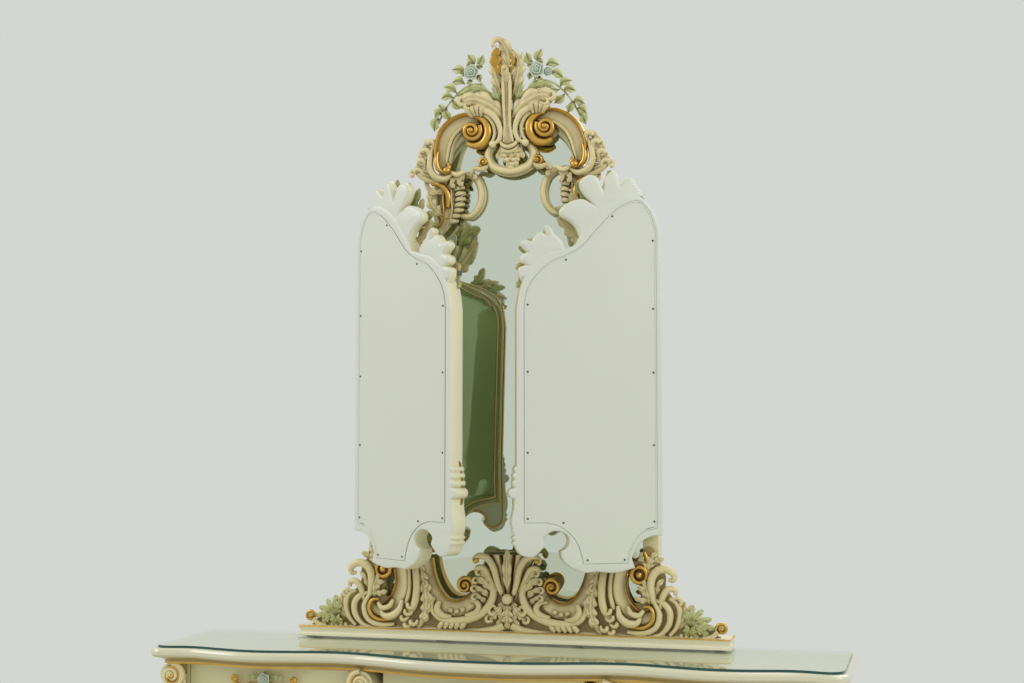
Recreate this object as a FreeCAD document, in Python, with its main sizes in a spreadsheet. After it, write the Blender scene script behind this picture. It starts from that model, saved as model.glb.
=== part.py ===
import FreeCAD, Part
import os
import re

# A rococo dressing table: a serpentine table with two pedestals of drawers, a fixed centre
# mirror that stands on it, and two mirror wings that fold forward over the centre like doors.
# The frame: X to the right, Y towards the wall, Z up, the floor at zero, the centre at zero.

# Driving dimensions in millimetres, and in degrees where the name ends in angle
SIZES = {
    "table_height": 800,
    "top_width": 1650,
    "top_depth": 410,
    "glass_thickness": 6,
    "glass_inset": 12,
    "glass_back_inset": 20,
    "edge_height": 24,
    "edge_round": 7,
    "ogee_height": 9,
    "ogee_inset": 24,
    "bead_height": 5,
    "bead_width": 8,
    "side_setback": 36,
    "leg_setback": 97,
    "back_setback": 10,
    "back_thickness": 8,
    "post_width": 54,
    "post_depth": 60,
    "side_thickness": 18,
    "knee_width": 536,
    "leg_height": 380,
    "leg_thickness": 56,
    "leg_reach": 30,
    "capital_radius": 27,
    "capital_drop": 38,
    "capital_projection": 22,
    "board_thickness": 16,
    "apron_thickness": 18,
    "apron_height": 62,
    "apron_gap": 22,
    "rail_setback": 27,
    "front_thickness": 22,
    "front_bow": 14,
    "drawer_gap": 1.5,
    "seat_gap": 0.3,
    "box_gap": 6,
    "box_wall": 10,
    "box_floor": 6,
    "box_headroom": 54,
    "box_back_gap": 22,
    "guide_gap": 2.5,
    "guide_height": 26,
    "knee_drawer_height": 92,
    "knee_drawer_inset": 28,
    "knee_box_height": 60,
    "ledge_height": 10,
    "ledge_reach": 24,
    "pull_half_length": 82,
    "pull_height": 13,
    "pull_thickness": 9,
    "pull_stand": 9,
    "pull_flower_radius": 15,
    "pull_flower_height": 12,
    "pull_stem_radius": 4.5,
    "pad_height": 3,
    "pad_radius": 14,
    "plinth_width": 1084,
    "plinth_depth": 96,
    "plinth_back": 191,
    "plinth_height": 21,
    "plinth_step": 6,
    "mirror_width": 736,
    "mirror_height": 1487,
    "mirror_front": 134,
    "frame_thickness": 44,
    "mirror_lip": 14,
    "mirror_glass": 4,
    "mirror_board": 13,
    "glass_margin": 5,
    "fit_gap": 0.5,
    "brace_width": 60,
    "brace_thickness": 12,
    "brace_centre": 150,
    "brace_height": 1156,
    "carving_depth": 25,
    "side_scroll_depth": 17,
    "relief_depth": 36,
    "plume_tip_depth": 52,
    "base_width": 1090,
    "base_height": 192,
    "wing_width": 352,
    "wing_height": 896,
    "wing_lift": 181,
    "wing_thickness": 48,
    "wing_lip": 30,
    "wing_leaf_margin": 4,
    "left_wing_angle": 28.7,
    "right_wing_angle": 23.4,
    "nail_radius": 0.9,
    "nail_head_radius": 2.2,
    "nail_head_height": 1,
    "nail_length": 22,
    "knuckle_radius": 4,
    "knuckle_height": 24,
    "knuckle_gap": 0.4,
    "hinge_offset": 5,
    "leaf_thickness": 2,
    "leaf_width": 26,
    "pin_radius": 2,
    "pin_gap": 0.05,
    "pin_head_radius": 3.4,
    "pin_head_height": 3,
    "overrun": 50,
}

# Places that follow from the driving dimensions
PLACES = {
    "wood_level": "table_height - glass_thickness",
    "edge_under": "wood_level - edge_height",
    "top_under": "edge_under - ogee_height",
    "bead_under": "top_under - bead_height",
    "half_top": "top_width / 2",
    "half_depth": "top_depth / 2",
    "outer_face": "half_top - side_setback",
    "outer_post": "outer_face - post_width",
    "inner_face": "knee_width / 2",
    "inner_post": "inner_face + post_width",
    "post_front": "leg_setback - half_depth",
    "post_back": "post_front + post_depth",
    "case_back": "half_depth - back_setback",
    "panel_front": "case_back - back_thickness",
    "rear_post_front": "panel_front - post_width",
    "floor_top": "leg_height + board_thickness",
    "opening_height": "(bead_under - floor_top - board_thickness) / 2",
    "box_height": "opening_height - box_headroom",
    "divider_under": "floor_top + opening_height",
    "divider_top": "divider_under + board_thickness",
    "divider_middle": "divider_under + board_thickness / 2",
    "rail_front": "post_front + rail_setback",
    "front_back": "rail_front - seat_gap",
    "front_left": "inner_post + drawer_gap",
    "front_right": "outer_post - drawer_gap",
    "box_left": "inner_post + box_gap",
    "box_right": "outer_post - box_gap",
    "box_end": "panel_front - box_back_gap",
    "knee_half": "inner_face - knee_drawer_inset",
    "knee_box_half": "knee_half - box_gap",
    "knee_front_under": "bead_under - drawer_gap - knee_drawer_height",
    "ledge_top": "knee_front_under + ledge_height",
    "plinth_under": "table_height + pad_height",
    "plinth_top": "plinth_under + plinth_height",
    "plinth_front": "plinth_back - plinth_depth",
    "plinth_half": "plinth_width / 2",
    "frame_back": "mirror_front + frame_thickness",
    "brace_end": "frame_back + brace_thickness",
    "brace_inner": "brace_centre - brace_width / 2",
    "brace_outer": "brace_centre + brace_width / 2",
    "mirror_half": "mirror_width / 2",
    "hinge_reach": "mirror_half + hinge_offset",
    "board_seat": "mirror_lip + mirror_glass",
    "wing_board_seat": "wing_lip + mirror_glass",
    "wing_foot": "table_height + wing_lift",
}

# Half of the top's front edge, as shares of half the width and of the depth
TOP_FRONT_SHARES = [
    (0, -0.5), (0.145, -0.478), (0.285, -0.398), (0.418, -0.349), (0.533, -0.385),
    (0.655, -0.432), (0.776, -0.405), (0.885, -0.366), (0.927, -0.38), (0.967, -0.39),
    (0.991, -0.358), (0.998, -0.315), (1, -0.268),
]

# The cabriole leg, foot first: shares of its height, thickness and reach
LEG_SHARES = [
    (0, 0.38, 0.7), (0.05, 0.44, 0.72), (0.11, 0.3, 0.35), (0.3, 0.31, -0.05),
    (0.6, 0.42, 0.1), (0.86, 0.62, 0.35), (1, 0.47, 0),
]

# A back leg leans back by this share of a front leg's reach
BACK_LEG_SHARE = 0.3

# A leg's volute: its eye's radius and rise, and the leaf below it as widths and drops
CAPITAL_EYE_SHARES = (0.33, 1.4)
CAPITAL_LEAF_SHARES = [(0, 0.38), (1, 0.31), (2.4, 0.17)]
CAPITAL_LEAF_DEPTH_SHARE = 0.6

# The scalloped lower edge of an apron, as shares of its length and height
APRON_SHARES = [
    (0, 0.1), (0.14, 0.45), (0.32, 0.55), (0.42, 0.3), (0.5, 0),
    (0.58, 0.3), (0.68, 0.55), (0.86, 0.45), (1, 0.1),
]

# Half of the centre frame, its sight and its board: shares of half the width and the height
FRAME_SHARES = [
    [(1, 0.016), (1, 0.558)],
    [
        (1, 0.558), (0.951, 0.586), (0.842, 0.609), (0.712, 0.625), (0.603, 0.642), (0.554, 0.666),
        (0.543, 0.699), (0.56, 0.733), (0.533, 0.767), (0.462, 0.807), (0.353, 0.849),
        (0.217, 0.874), (0, 0.886),
    ],
]
SIGHT_SHARES = [
    [(0.897, 0.062), (0.897, 0.55)],
    [
        (0.897, 0.55), (0.859, 0.568), (0.774, 0.586), (0.652, 0.603), (0.538, 0.622),
        (0.467, 0.649), (0.443, 0.686), (0.451, 0.73), (0.424, 0.763), (0.359, 0.799),
        (0.261, 0.827), (0.136, 0.842), (0, 0.846),
    ],
]
BOARD_SHARES = [
    [(0.94, 0.051), (0.94, 0.553)],
    [
        (0.94, 0.553), (0.899, 0.574), (0.81, 0.596), (0.679, 0.613), (0.568, 0.631),
        (0.505, 0.655), (0.489, 0.687), (0.5, 0.731), (0.473, 0.765), (0.402, 0.804),
        (0.293, 0.836), (0.152, 0.855), (0, 0.861),
    ],
]

# A wing's outline from the hinge edge round, as shares of the wing's width and height
WING_SHARES = [
    [(0.015, 0.096), (0.015, 0.897)],
    [
        (0.015, 0.897), (0.057, 0.948), (0.128, 0.983), (0.205, 1), (0.312, 0.99),
        (0.426, 0.959), (0.54, 0.903), (0.608, 0.859),
    ],
    [(0.608, 0.859), (0.682, 0.85), (0.81, 0.835), (0.909, 0.802), (0.972, 0.747), (1, 0.691)],
    [(1, 0.691), (1, 0.272)],
    [(1, 0.272), (1.031, 0.25), (1.054, 0.222), (1.031, 0.191), (1.051, 0.133), (0.991, 0.061)],
    [(0.991, 0.061), (0.844, 0.057)],
    [
        (0.844, 0.057), (0.812, 0.073), (0.824, 0.09), (0.778, 0.106), (0.724, 0.109),
        (0.67, 0.1), (0.651, 0.084), (0.668, 0.066), (0.707, 0.056),
    ],
    [(0.707, 0.056), (0.69, 0.032), (0.631, 0.013), (0.554, 0)],
    [(0.554, 0), (0.455, 0.003), (0.341, 0), (0.205, 0.012)],
    [(0.205, 0.012), (0.219, 0.027), (0.227, 0.039)],
    [(0.227, 0.039), (0.188, 0.07), (0.108, 0.092), (0.015, 0.096)],
]
WING_BOARD_SHARES = [
    [(0.057, 0.117), (0.057, 0.903)],
    [
        (0.057, 0.903), (0.094, 0.946), (0.142, 0.973), (0.199, 0.979), (0.304, 0.96),
        (0.426, 0.915), (0.528, 0.868), (0.588, 0.847),
    ],
    [(0.588, 0.847), (0.676, 0.829), (0.781, 0.81), (0.881, 0.771), (0.932, 0.733), (0.949, 0.691)],
    [(0.949, 0.691), (0.949, 0.133)],
    [(0.949, 0.133), (0.798, 0.133)],
    [(0.798, 0.133), (0.71, 0.123), (0.622, 0.095), (0.574, 0.06), (0.551, 0.025)],
    [(0.551, 0.025), (0.259, 0.027)],
    [(0.259, 0.027), (0.239, 0.061), (0.17, 0.103), (0.057, 0.117)],
]
WING_SIGHT_SHARES = [
    [(0.102, 0.133), (0.102, 0.892)],
    [
        (0.102, 0.892), (0.142, 0.939), (0.205, 0.954), (0.298, 0.936), (0.426, 0.888),
        (0.526, 0.845), (0.597, 0.823),
    ],
    [(0.597, 0.823), (0.682, 0.806), (0.781, 0.786), (0.861, 0.75), (0.895, 0.719), (0.903, 0.685)],
    [(0.903, 0.685), (0.903, 0.153)],
    [(0.903, 0.153), (0.787, 0.151)],
    [(0.787, 0.151), (0.682, 0.14), (0.582, 0.105), (0.534, 0.071), (0.517, 0.046)],
    [(0.517, 0.046), (0.293, 0.046)],
    [(0.293, 0.046), (0.273, 0.077), (0.205, 0.114), (0.102, 0.133)],
]

# The carved leaves on a wing's top edge, as shares of the wing's width and height
WING_LEAF_SHARES = [
    [(0.54, 0.88), (0.59, 0.865)],
    [(0.59, 0.865), (0.602, 0.911), (0.682, 0.936), (0.685, 0.964), (0.599, 0.978), (0.5, 0.972)],
    [(0.5, 0.972), (0.535, 0.988), (0.557, 1.012), (0.52, 1.042), (0.47, 1.03)],
    [(0.47, 1.03), (0.43, 0.985)],
    [(0.43, 0.985), (0.395, 1.025)],
    [(0.395, 1.025), (0.36, 1.048), (0.325, 1.043), (0.305, 1.012)],
    [(0.305, 1.012), (0.225, 1.038), (0.159, 0.99)],
    [(0.159, 0.99), (0.25, 0.97)],
    [(0.25, 0.97), (0.54, 0.88)],
]
WING_LOWER_LEAF_SHARES = [
    [(0.693, 0.836), (0.705, 0.876), (0.801, 0.906)],
    [(0.801, 0.906), (0.81, 0.885), (0.912, 0.859)],
    [(0.912, 0.859), (0.969, 0.855), (0.926, 0.837)],
    [(0.926, 0.837), (0.969, 0.794), (0.977, 0.753)],
    [(0.977, 0.753), (0.881, 0.75), (0.693, 0.836)],
]

# Nails round a wing's board, as shares of the wing's width and height
NAIL_SHARES = [
    (0.074, 0.133), (0.074, 0.333), (0.074, 0.524), (0.074, 0.693), (0.074, 0.875),
    (0.352, 0.938), (0.669, 0.82), (0.929, 0.7), (0.929, 0.524), (0.929, 0.313),
    (0.929, 0.142), (0.69, 0.131), (0.528, 0.034), (0.278, 0.034),
]
HINGE_SHARES = (0.166, 0.5, 0.834)

# Crest carvings on one side: path points with half widths, as shares of half the mirror's
# width and of its height; the half widths are shares of half the width
CREST_SCROLL_SHARES = [
    (0.209, 0.872, 0.043), (0.326, 0.876, 0.054), (0.421, 0.864, 0.065),
    (0.457, 0.837, 0.065), (0.448, 0.81, 0.043), (0.429, 0.788, 0.019),
]
SIDE_SCROLL_SHARES = [
    (0.437, 0.786, 0.022), (0.484, 0.757, 0.033), (0.476, 0.726, 0.035),
    (0.511, 0.696, 0.03), (0.557, 0.676, 0.016),
]
OUTER_CURL_SHARES = [(0.658, 0.788, 0.022), (0.584, 0.775, 0.033), (0.478, 0.757, 0.027)]
BRIDGE_SHARES = [(0.435, 0.783, 0.014), (0.348, 0.78, 0.019), (0.245, 0.79, 0.014)]
SPRIG_SHARES = [
    (0.231, 0.953, 0.04), (0.312, 0.941, 0.06), (0.38, 0.921, 0.062),
    (0.435, 0.898, 0.043), (0.467, 0.882, 0.02),
]
VOLUTE_SHARES = (0.209, 0.85, 0.087)
BALL_SHARES = (0.44, 0.785, 0.03)
LOOP_SHARES = (0.258, 0.75, 0.087, 0.0417)
LOOP_BAND_SHARE = 0.027
ROSE_SHARES = (0.231, 0.953, 0.071)
PLUME_SHARES = [
    [(0.06, 0.831), (0.092, 0.868), (0.168, 0.894), (0.19, 0.923), (0.109, 0.939)],
    [(0.109, 0.939), (0.071, 0.962), (0.071, 0.983), (0, 1)],
]
PLUME_TIP_SHARES = (0.975, 0.05, 0.035)
SIDE_LEAF_SHARES = [
    (0.03, 0.858, 0.035), (0.2, 0.884, 0.05), (0.33, 0.896, 0.055), (0.42, 0.893, 0.02),
]
RING_SHARES = (0, 0.807, 0.196, 0.0377)
RING_BAND_SHARE = 0.033
GRAPE_COUNTS = (4, 4, 3, 2, 1)
GRAPE_TOP_SHARE = 0.8235
GRAPE_RADIUS_SHARE = 0.0235
GRAPE_STEP_SHARES = (1.6, 1.4)

# The base carving on one side and half of the calyx: shares of half the base and its height
BASE_CARVING_SHARES = [
    [(0.078, 0), (1, 0)],
    [(1, 0), (0.982, 0.188), (0.927, 0.198), (0.862, 0.318), (0.835, 0.458)],
    [(0.835, 0.458), (0.78, 0.422), (0.749, 0.656), (0.725, 0.865), (0.683, 1.099)],
    [(0.683, 1.099), (0.633, 0.917), (0.606, 0.656), (0.55, 0.542), (0.481, 0.604), (0.431, 0.5)],
    [(0.431, 0.5), (0.349, 0.344), (0.279, 0.333), (0.229, 0.422), (0.206, 0.604)],
    [(0.206, 0.604), (0.156, 0.656), (0.147, 0.896)],
    [(0.147, 0.896), (0.12, 0.839), (0.112, 0.604), (0.088, 0.396)],
    [(0.088, 0.396), (0.078, 0)],
]
CALYX_SHARES = [
    [(0.07, 0), (0.078, 0.448), (0.106, 0.656), (0.092, 0.943)],
    [(0.092, 0.943), (0.046, 0.865), (0, 1)],
]
BASE_HOLE_SHARES = (0.551, 0.385, 0.036)

# A drawer pull, as shares of its half length and height, and how high it sits on a front
PULL_SHARES = [
    (-1, 0.5, 0.35), (-0.8, 0.75, 0.5), (-0.55, 0, 0.45), (-0.25, -0.35, 0.5),
    (0, -0.1, 0.65), (0.25, -0.35, 0.5), (0.55, 0, 0.45), (0.8, 0.75, 0.5), (1, 0.5, 0.35),
]

PULL_LEVEL_SHARE = 0.845

V = FreeCAD.Vector
UP = V(0, 0, 1)
BACKWARD = V(0, 1, 0)

doc = FreeCAD.newDocument("DressingTable")
sheet = doc.addObject("Spreadsheet::Sheet", "Sizes")
for row, (name, number) in enumerate(SIZES.items(), start=1):
    sheet.set(f"A{row}", name)
    sheet.set(f"B{row}", str(number))
    sheet.setAlias(f"B{row}", name)
doc.recompute()

pieces = {}


def in_sheet(text):
    """Write a formula of plain names as an expression on the sheet's cells."""
    def cell(match):
        word = match.group()
        if word in PLACES:
            return "(" + in_sheet(PLACES[word]) + ")"
        return "Sizes." + word
    return re.sub(r"[a-z_]+", cell, text)


def mm(text):
    """The number that a formula gives now."""
    return float(sheet.evalExpression(in_sheet(text)))


def named(label, item):
    """Register a finished sub-part under its own label."""
    item.Label = label
    pieces[label] = item
    return item


def between(low, high, side=1):
    """A pair of formulas, mirrored to the left when side is negative."""
    if side > 0:
        return (low, high)
    return (f"-({high})", f"-({low})")


def box(name, x, y, z):
    """A box between pairs of formulas along the three axes."""
    item = doc.addObject("Part::Box", name)
    for axis, edge, (low, high) in zip("xyz", ("Length", "Width", "Height"), (x, y, z)):
        item.setExpression(edge, in_sheet(f"({high}) - ({low})"))
        item.setExpression(f"Placement.Base.{axis}", in_sheet(low))
    return item


def joined(name, items):
    """Several solids as one object; those that touch become one."""
    item = doc.addObject("Part::MultiFuse", name)
    item.Shapes = items
    return item


def cut(name, base, tool):
    """One solid less another."""
    item = doc.addObject("Part::Cut", name)
    item.Base = base
    item.Tool = tool
    return item


def shaped(name, shape):
    """A sub-part whose shape is worked out here from the sheet's sizes."""
    item = doc.addObject("Part::Feature", name)
    item.Shape = shape
    return named(name, item)


def curve(points):
    """A straight line through two points, or a smooth curve through more."""
    points = [V(*point) for point in points]
    if len(points) == 2:
        return Part.LineSegment(*points)
    spline = Part.BSplineCurve()
    spline.interpolate(points)
    return spline


def flat(runs):
    """Runs of plan points as curves in a sketch."""
    return [curve([(x, y, 0) for x, y in run]) for run in runs]


def scaled(runs, across, up, lift=0):
    """Turn runs of shares into millimetres."""
    return [[(x * across, lift + z * up) for x, z in run] for run in runs]


def both_halves(runs):
    """Close a right-hand half, which starts at the foot and ends on the middle line."""
    joined_top = runs[-1] + [(-x, z) for x, z in reversed(runs[-1][:-1])]
    left = [[(-x, z) for x, z in reversed(run)] for run in reversed(runs[:-1])]
    foot = [left[-1][-1] if left else joined_top[-1], runs[0][0]]
    return runs[:-1] + [joined_top] + left + [foot]


def moved_in(runs, gap):
    """Move an outline in by a gap, square to the lines that meet at each of its points."""
    points = [V(x, z, 0) for run in runs for x, z in run[:-1]]
    turn = sum(a.cross(b).z for a, b in zip(points, points[1:] + points[:1]))
    inward = V(0, 0, 1 if turn > 0 else -1)
    moved = {}
    for i, point in enumerate(points):
        before = inward.cross(point - points[i - 1]).normalize()
        after = inward.cross(points[(i + 1) % len(points)] - point).normalize()
        place = point + (before + after) * (gap / (1 + before.dot(after)))
        moved[point.x, point.y] = (place.x, place.y)
    return [[moved[place] for place in run] for run in runs]


def prism(runs, front, back):
    """A solid between two depths, with an outline seen from the front."""
    edges = [curve([(x, front, z) for x, z in run]).toShape() for run in runs]
    return Part.Face(Part.Wire(edges)).extrude(BACKWARD * (back - front))


def band(path, front, back):
    """A carved band between two depths that follows points with half widths."""
    outer = []
    inner = []
    for i, (x, z, half) in enumerate(path):
        before = path[max(i - 1, 0)]
        after = path[min(i + 1, len(path) - 1)]
        along = V(after[0] - before[0], after[1] - before[1], 0).normalize()
        outer.append((x - along.y * half, z + along.x * half))
        inner.append((x + along.y * half, z - along.x * half))
    runs = [outer, [outer[-1], inner[-1]], inner[::-1], [inner[0], outer[0]]]
    return prism(runs, front, back)


def ring(x, z, across, up, width, front, back):
    """An oval ring between two depths."""
    def oval(a, b):
        flip = FreeCAD.Placement(V(x, front, z), FreeCAD.Rotation(V(1, 0, 0), 90))
        circle = Part.Circle(V(0, 0, 0), UP, a).toShape()
        stretch = FreeCAD.Matrix()
        stretch.scale(V(1, b / a, 1))
        edge = circle.transformGeometry(stretch)
        edge.Placement = flip.multiply(edge.Placement)
        return Part.Face(Part.Wire(edge.Edges)).extrude(BACKWARD * (back - front))
    return oval(across, up).cut(oval(across - width, up - width))


def disc(x, z, radius, front, back):
    """A round boss between two depths."""
    return Part.makeCylinder(radius, back - front, V(x, front, z), BACKWARD)


def one(shapes):
    """Fuse shapes into one."""
    return shapes[0].fuse(shapes[1:]).removeSplitter()


def clear_of(shape, labels):
    """Cut a carving back where other named pieces already stand."""
    for label in labels:
        shape = shape.cut(pieces[label].Shape)
    return shape


def sketch_on(body, name, role, geometry, lift=None):
    """A sketch on one of the body's own origin planes, lifted along its normal."""
    plane = [item for item in body.Origin.OriginFeatures if item.Role == role][0]
    sketch = body.newObject("Sketcher::SketchObject", name)
    sketch.AttachmentSupport = [(plane, "")]
    sketch.MapMode = "FlatFace"
    if lift:
        sketch.setExpression("AttachmentOffset.Base.z", in_sheet(lift))
    sketch.addGeometry(geometry, False)
    return sketch


def pad(body, sketch, length):
    """Raise a sketch by a formula's length along its normal."""
    feature = body.newObject("PartDesign::Pad", sketch.Name + "Pad")
    feature.Profile = sketch
    feature.setExpression("Length", in_sheet(length))
    doc.recompute()
    return feature


def pocket(body, sketch):
    """Cut a sketch right through along its normal."""
    before = body.Shape.Volume
    feature = body.newObject("PartDesign::Pocket", sketch.Name + "Pocket")
    feature.Profile = sketch
    feature.Type = "ThroughAll"
    feature.Reversed = True
    doc.recompute()
    if not body.Shape.Volume < before:
        raise RuntimeError(sketch.Name + " cuts nothing")
    return feature


def upright(label, runs, thickness, back, foot):
    """A body that stands facing the front: its outline is padded forward from its back face."""
    body = doc.addObject("PartDesign::Body", label)
    pad(body, sketch_on(body, label + "_outline", "XZ_Plane", flat(runs)), thickness)
    body.setExpression("Placement.Base.y", in_sheet(back))
    body.setExpression("Placement.Base.z", in_sheet(foot))
    return named(label, body)


def top_runs(inset, back_inset):
    """The serpentine outline of the top in plan, drawn in by an inset."""
    half = mm("half_top") - inset
    right = [(x * half, y * mm("top_depth") + inset) for x, y in TOP_FRONT_SHARES]
    front = [(-x, y) for x, y in reversed(right[1:])] + right
    rear = mm("half_depth") - back_inset
    start, end = front[0], front[-1]
    return [front, [end, (half, rear)], [(half, rear), (-half, rear)], [(-half, rear), start]]


def plan_wire(inset, level):
    """The top's outline at a height, as a wire."""
    runs = top_runs(inset, inset)
    return Part.Wire([curve([(x, y, level) for x, y in run]).toShape() for run in runs])


def table_top():
    """The wooden top: a rounded edge over a receding ogee."""
    round_off = mm("edge_round")
    under = mm("ogee_inset")
    profile = [
        (under, mm("top_under")),
        (under, mm("top_under + ogee_height / 3")),
        (under / 2, mm("edge_under")),
        (round_off / 3, mm("edge_under") + round_off / 2),
        (0, mm("edge_under") + round_off * 1.4),
        (0, mm("wood_level") - round_off),
        (round_off / 3, mm("wood_level") - round_off / 3),
        (round_off, mm("wood_level")),
    ]
    wires = [plan_wire(inset, level) for inset, level in profile]
    return shaped("table_top", Part.makeLoft(wires, True, True))


def glass_top():
    """The loose sheet of glass that covers the top."""
    body = doc.addObject("PartDesign::Body", "glass_top")
    runs = top_runs(mm("glass_inset"), mm("glass_back_inset"))
    pad(body, sketch_on(body, "glass_outline", "XY_Plane", flat(runs)), "glass_thickness")
    body.setExpression("Placement.Base.z", in_sheet("wood_level"))
    return named("glass_top", body)


def top_bead():
    """The gilt bead under the top's front and ends."""
    outer = mm("ogee_inset")
    inner = outer + mm("bead_width")
    body = doc.addObject("PartDesign::Body", "top_bead")
    runs = flat(top_runs(outer, outer)) + flat(top_runs(inner, inner))
    pad(body, sketch_on(body, "bead_outline", "XY_Plane", runs), "bead_height")
    x, y = mm("outer_face"), mm("panel_front")
    corners = [(-x, mm("rear_post_front")), (x, mm("rear_post_front")), (x, y), (-x, y)]
    opening = [[corners[i], corners[(i + 1) % 4]] for i in range(4)]
    pocket(body, sketch_on(body, "bead_end_outline", "XY_Plane", flat(opening)))
    body.setExpression("Placement.Base.z", in_sheet("bead_under"))
    return named("top_bead", body)


def leg(side, low, high, front, back, forward, outward):
    """A corner post that runs down into a cabriole leg; a front one carries a volute."""
    across = mm(high) - mm(low)
    middle = side * (mm(low) + across / 2)
    depth = mm(back) - mm(front)
    start = V(middle - across / 2, mm(front), mm("leg_height"))
    post = Part.makeBox(across, depth, mm("top_under - leg_height"), start)
    rounds = []
    for height, radius, reach in LEG_SHARES:
        step = reach * mm("leg_reach")
        x = middle + step * outward / 2
        y = mm(front) + depth / 2 - step * forward
        centre = V(x, y, height * mm("leg_height"))
        rounds.append(Part.Wire(Part.makeCircle(radius * mm("leg_thickness"), centre)))
    shapes = [post, Part.makeLoft(rounds, True, False)]
    if forward > 0:
        radius = mm("capital_radius")
        bulge = mm("capital_projection")
        centre = middle + outward * (across / 2 - radius + bulge / 2)
        level = mm("bead_under") - radius
        eye, rise = CAPITAL_EYE_SHARES
        shapes.append(disc(centre, level, radius, mm(front) - bulge, mm(back)))
        shapes.append(disc(centre, level, radius * eye, mm(front) - bulge * rise, mm(front)))
        leaf = [
            (middle, level - radius - drop * mm("capital_drop"), width * across)
            for drop, width in CAPITAL_LEAF_SHARES
        ]
        leaf[0] = (middle, level, leaf[0][2])
        shapes.append(band(leaf, mm(front) - bulge * CAPITAL_LEAF_DEPTH_SHARE, mm(front) + bulge))
    return one(shapes)


def legs():
    """Four carved front legs, and four plainer ones at the back as a group."""
    for word, side in (("left", -1), ("right", 1)):
        outer = ("outer_post", "outer_face", "post_front", "post_back")
        inner = ("inner_face", "inner_post", "post_front", "post_back")
        shaped(f"{word}_outer_leg", leg(side, *outer, 1, side))
        shaped(f"{word}_inner_leg", leg(side, *inner, 1, -side))
    rear = []
    for side in (-1, 1):
        for low, high in (("outer_post", "outer_face"), ("inner_face", "inner_post")):
            rear.append(leg(side, low, high, "rear_post_front", "panel_front", -BACK_LEG_SHARE, 0))
    shaped("back_legs", Part.makeCompound(rear))


def pedestals():
    """Side panels, dust boards, drawer guides and aprons of the two pedestals."""
    shelves = []
    guides = []
    for word, side in (("left", -1), ("right", 1)):
        depth = ("post_back", "rear_post_front")
        height = ("leg_height", "top_under")
        outer = between("outer_face - side_thickness", "outer_face", side)
        inner = between("inner_face", "inner_face + side_thickness", side)
        named(f"{word}_outer_side", box(f"{word}_outer_side", outer, depth, height))
        named(f"{word}_inner_side", box(f"{word}_inner_side", inner, depth, height))
        inside = between("inner_face + side_thickness", "outer_face - side_thickness", side)
        tongue = between("inner_post", "outer_post", side)
        for level in ("leg_height", "divider_under"):
            rise = (level, f"{level} + board_thickness")
            name = f"{word}_{level}_board"
            wide = box(name + "_wide", inside, depth, rise)
            narrow = box(name + "_narrow", tongue, ("rail_front", "panel_front"), rise)
            shelves.append(joined(name, [wide, narrow]))
            seat = (f"{level} + board_thickness", f"{level} + board_thickness + guide_height")
            first = between("inner_face + side_thickness", "box_left - guide_gap", side)
            second = between("box_right + guide_gap", "outer_face - side_thickness", side)
            guides.append(box(name + "_inner_guide", first, depth, seat))
            guides.append(box(name + "_outer_guide", second, depth, seat))
        ledge_span = between("knee_box_half - ledge_reach", "inner_face", side)
        ledge = box(f"{word}_ledge", ledge_span, depth, ("knee_front_under", "ledge_top"))
        guide_rise = ("ledge_top", "ledge_top + guide_height")
        guide_span = between("knee_box_half + guide_gap", "inner_face", side)
        guide = box(f"{word}_ledge_guide", guide_span, depth, guide_rise)
        guides.append(joined(f"{word}_knee_guide", [ledge, guide]))
        apron(f"{word}_apron", side)
    for label, items in (("dust_boards", shelves), ("drawer_guides", guides)):
        group = doc.addObject("Part::Compound", label)
        group.Links = items
        named(label, group)


def apron(label, side):
    """The shaped apron under a pedestal's lowest rail."""
    start = mm("inner_post + apron_gap")
    length = mm("outer_post - apron_gap") - start
    height = mm("apron_height")
    lower = [(side * (start + x * length), z * height - height) for x, z in APRON_SHARES]
    first, last = lower[0], lower[-1]
    runs = [lower, [last, (last[0], 0)], [(last[0], 0), (first[0], 0)], [(first[0], 0), first]]
    upright(label, runs, "apron_thickness", "rail_front + apron_thickness", "leg_height")


def back_panel():
    """The thin back of the whole case, cut away behind the knees."""
    depth = ("panel_front", "case_back")
    whole = box("back_sheet", ("-outer_face", "outer_face"), depth, ("leg_height", "top_under"))
    through = ("panel_front - overrun", "case_back + overrun")
    height = ("leg_height - overrun", "knee_front_under")
    knee = box("back_knee_hole", ("-inner_face", "inner_face"), through, height)
    named("back_panel", cut("back_panel", whole, knee))


def drawer_front(label, low, high, floor, height):
    """A drawer front, bowed in plan."""
    left, right, rear = mm(low), mm(high), mm("front_back")
    edge = rear - mm("front_thickness")
    nose = V((left + right) / 2, edge - mm("front_bow"), 0)
    arc = Part.Arc(V(left, edge, 0), nose, V(right, edge, 0))
    corners = [(right, edge), (right, rear), (left, rear), (left, edge)]
    lines = flat([corners[i:i + 2] for i in range(3)])
    body = doc.addObject("PartDesign::Body", label)
    pad(body, sketch_on(body, label + "_plan", "XY_Plane", [arc] + lines), height)
    body.setExpression("Placement.Base.z", in_sheet(floor))
    return named(label, body)


def drawer_box(label, low, high, floor, height):
    """The open box behind a drawer front."""
    rise = (floor, f"{floor} + {height}")
    outer = box(label + "_outside", (low, high), ("front_back", "box_end"), rise)
    inside = (f"{low} + box_wall", f"{high} - box_wall")
    depth = ("front_back + box_wall", "box_end - box_wall")
    above = (f"{floor} + box_floor", f"{rise[1]} + overrun")
    return named(label, cut(label, outer, box(label + "_hollow", inside, depth, above)))


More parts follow.
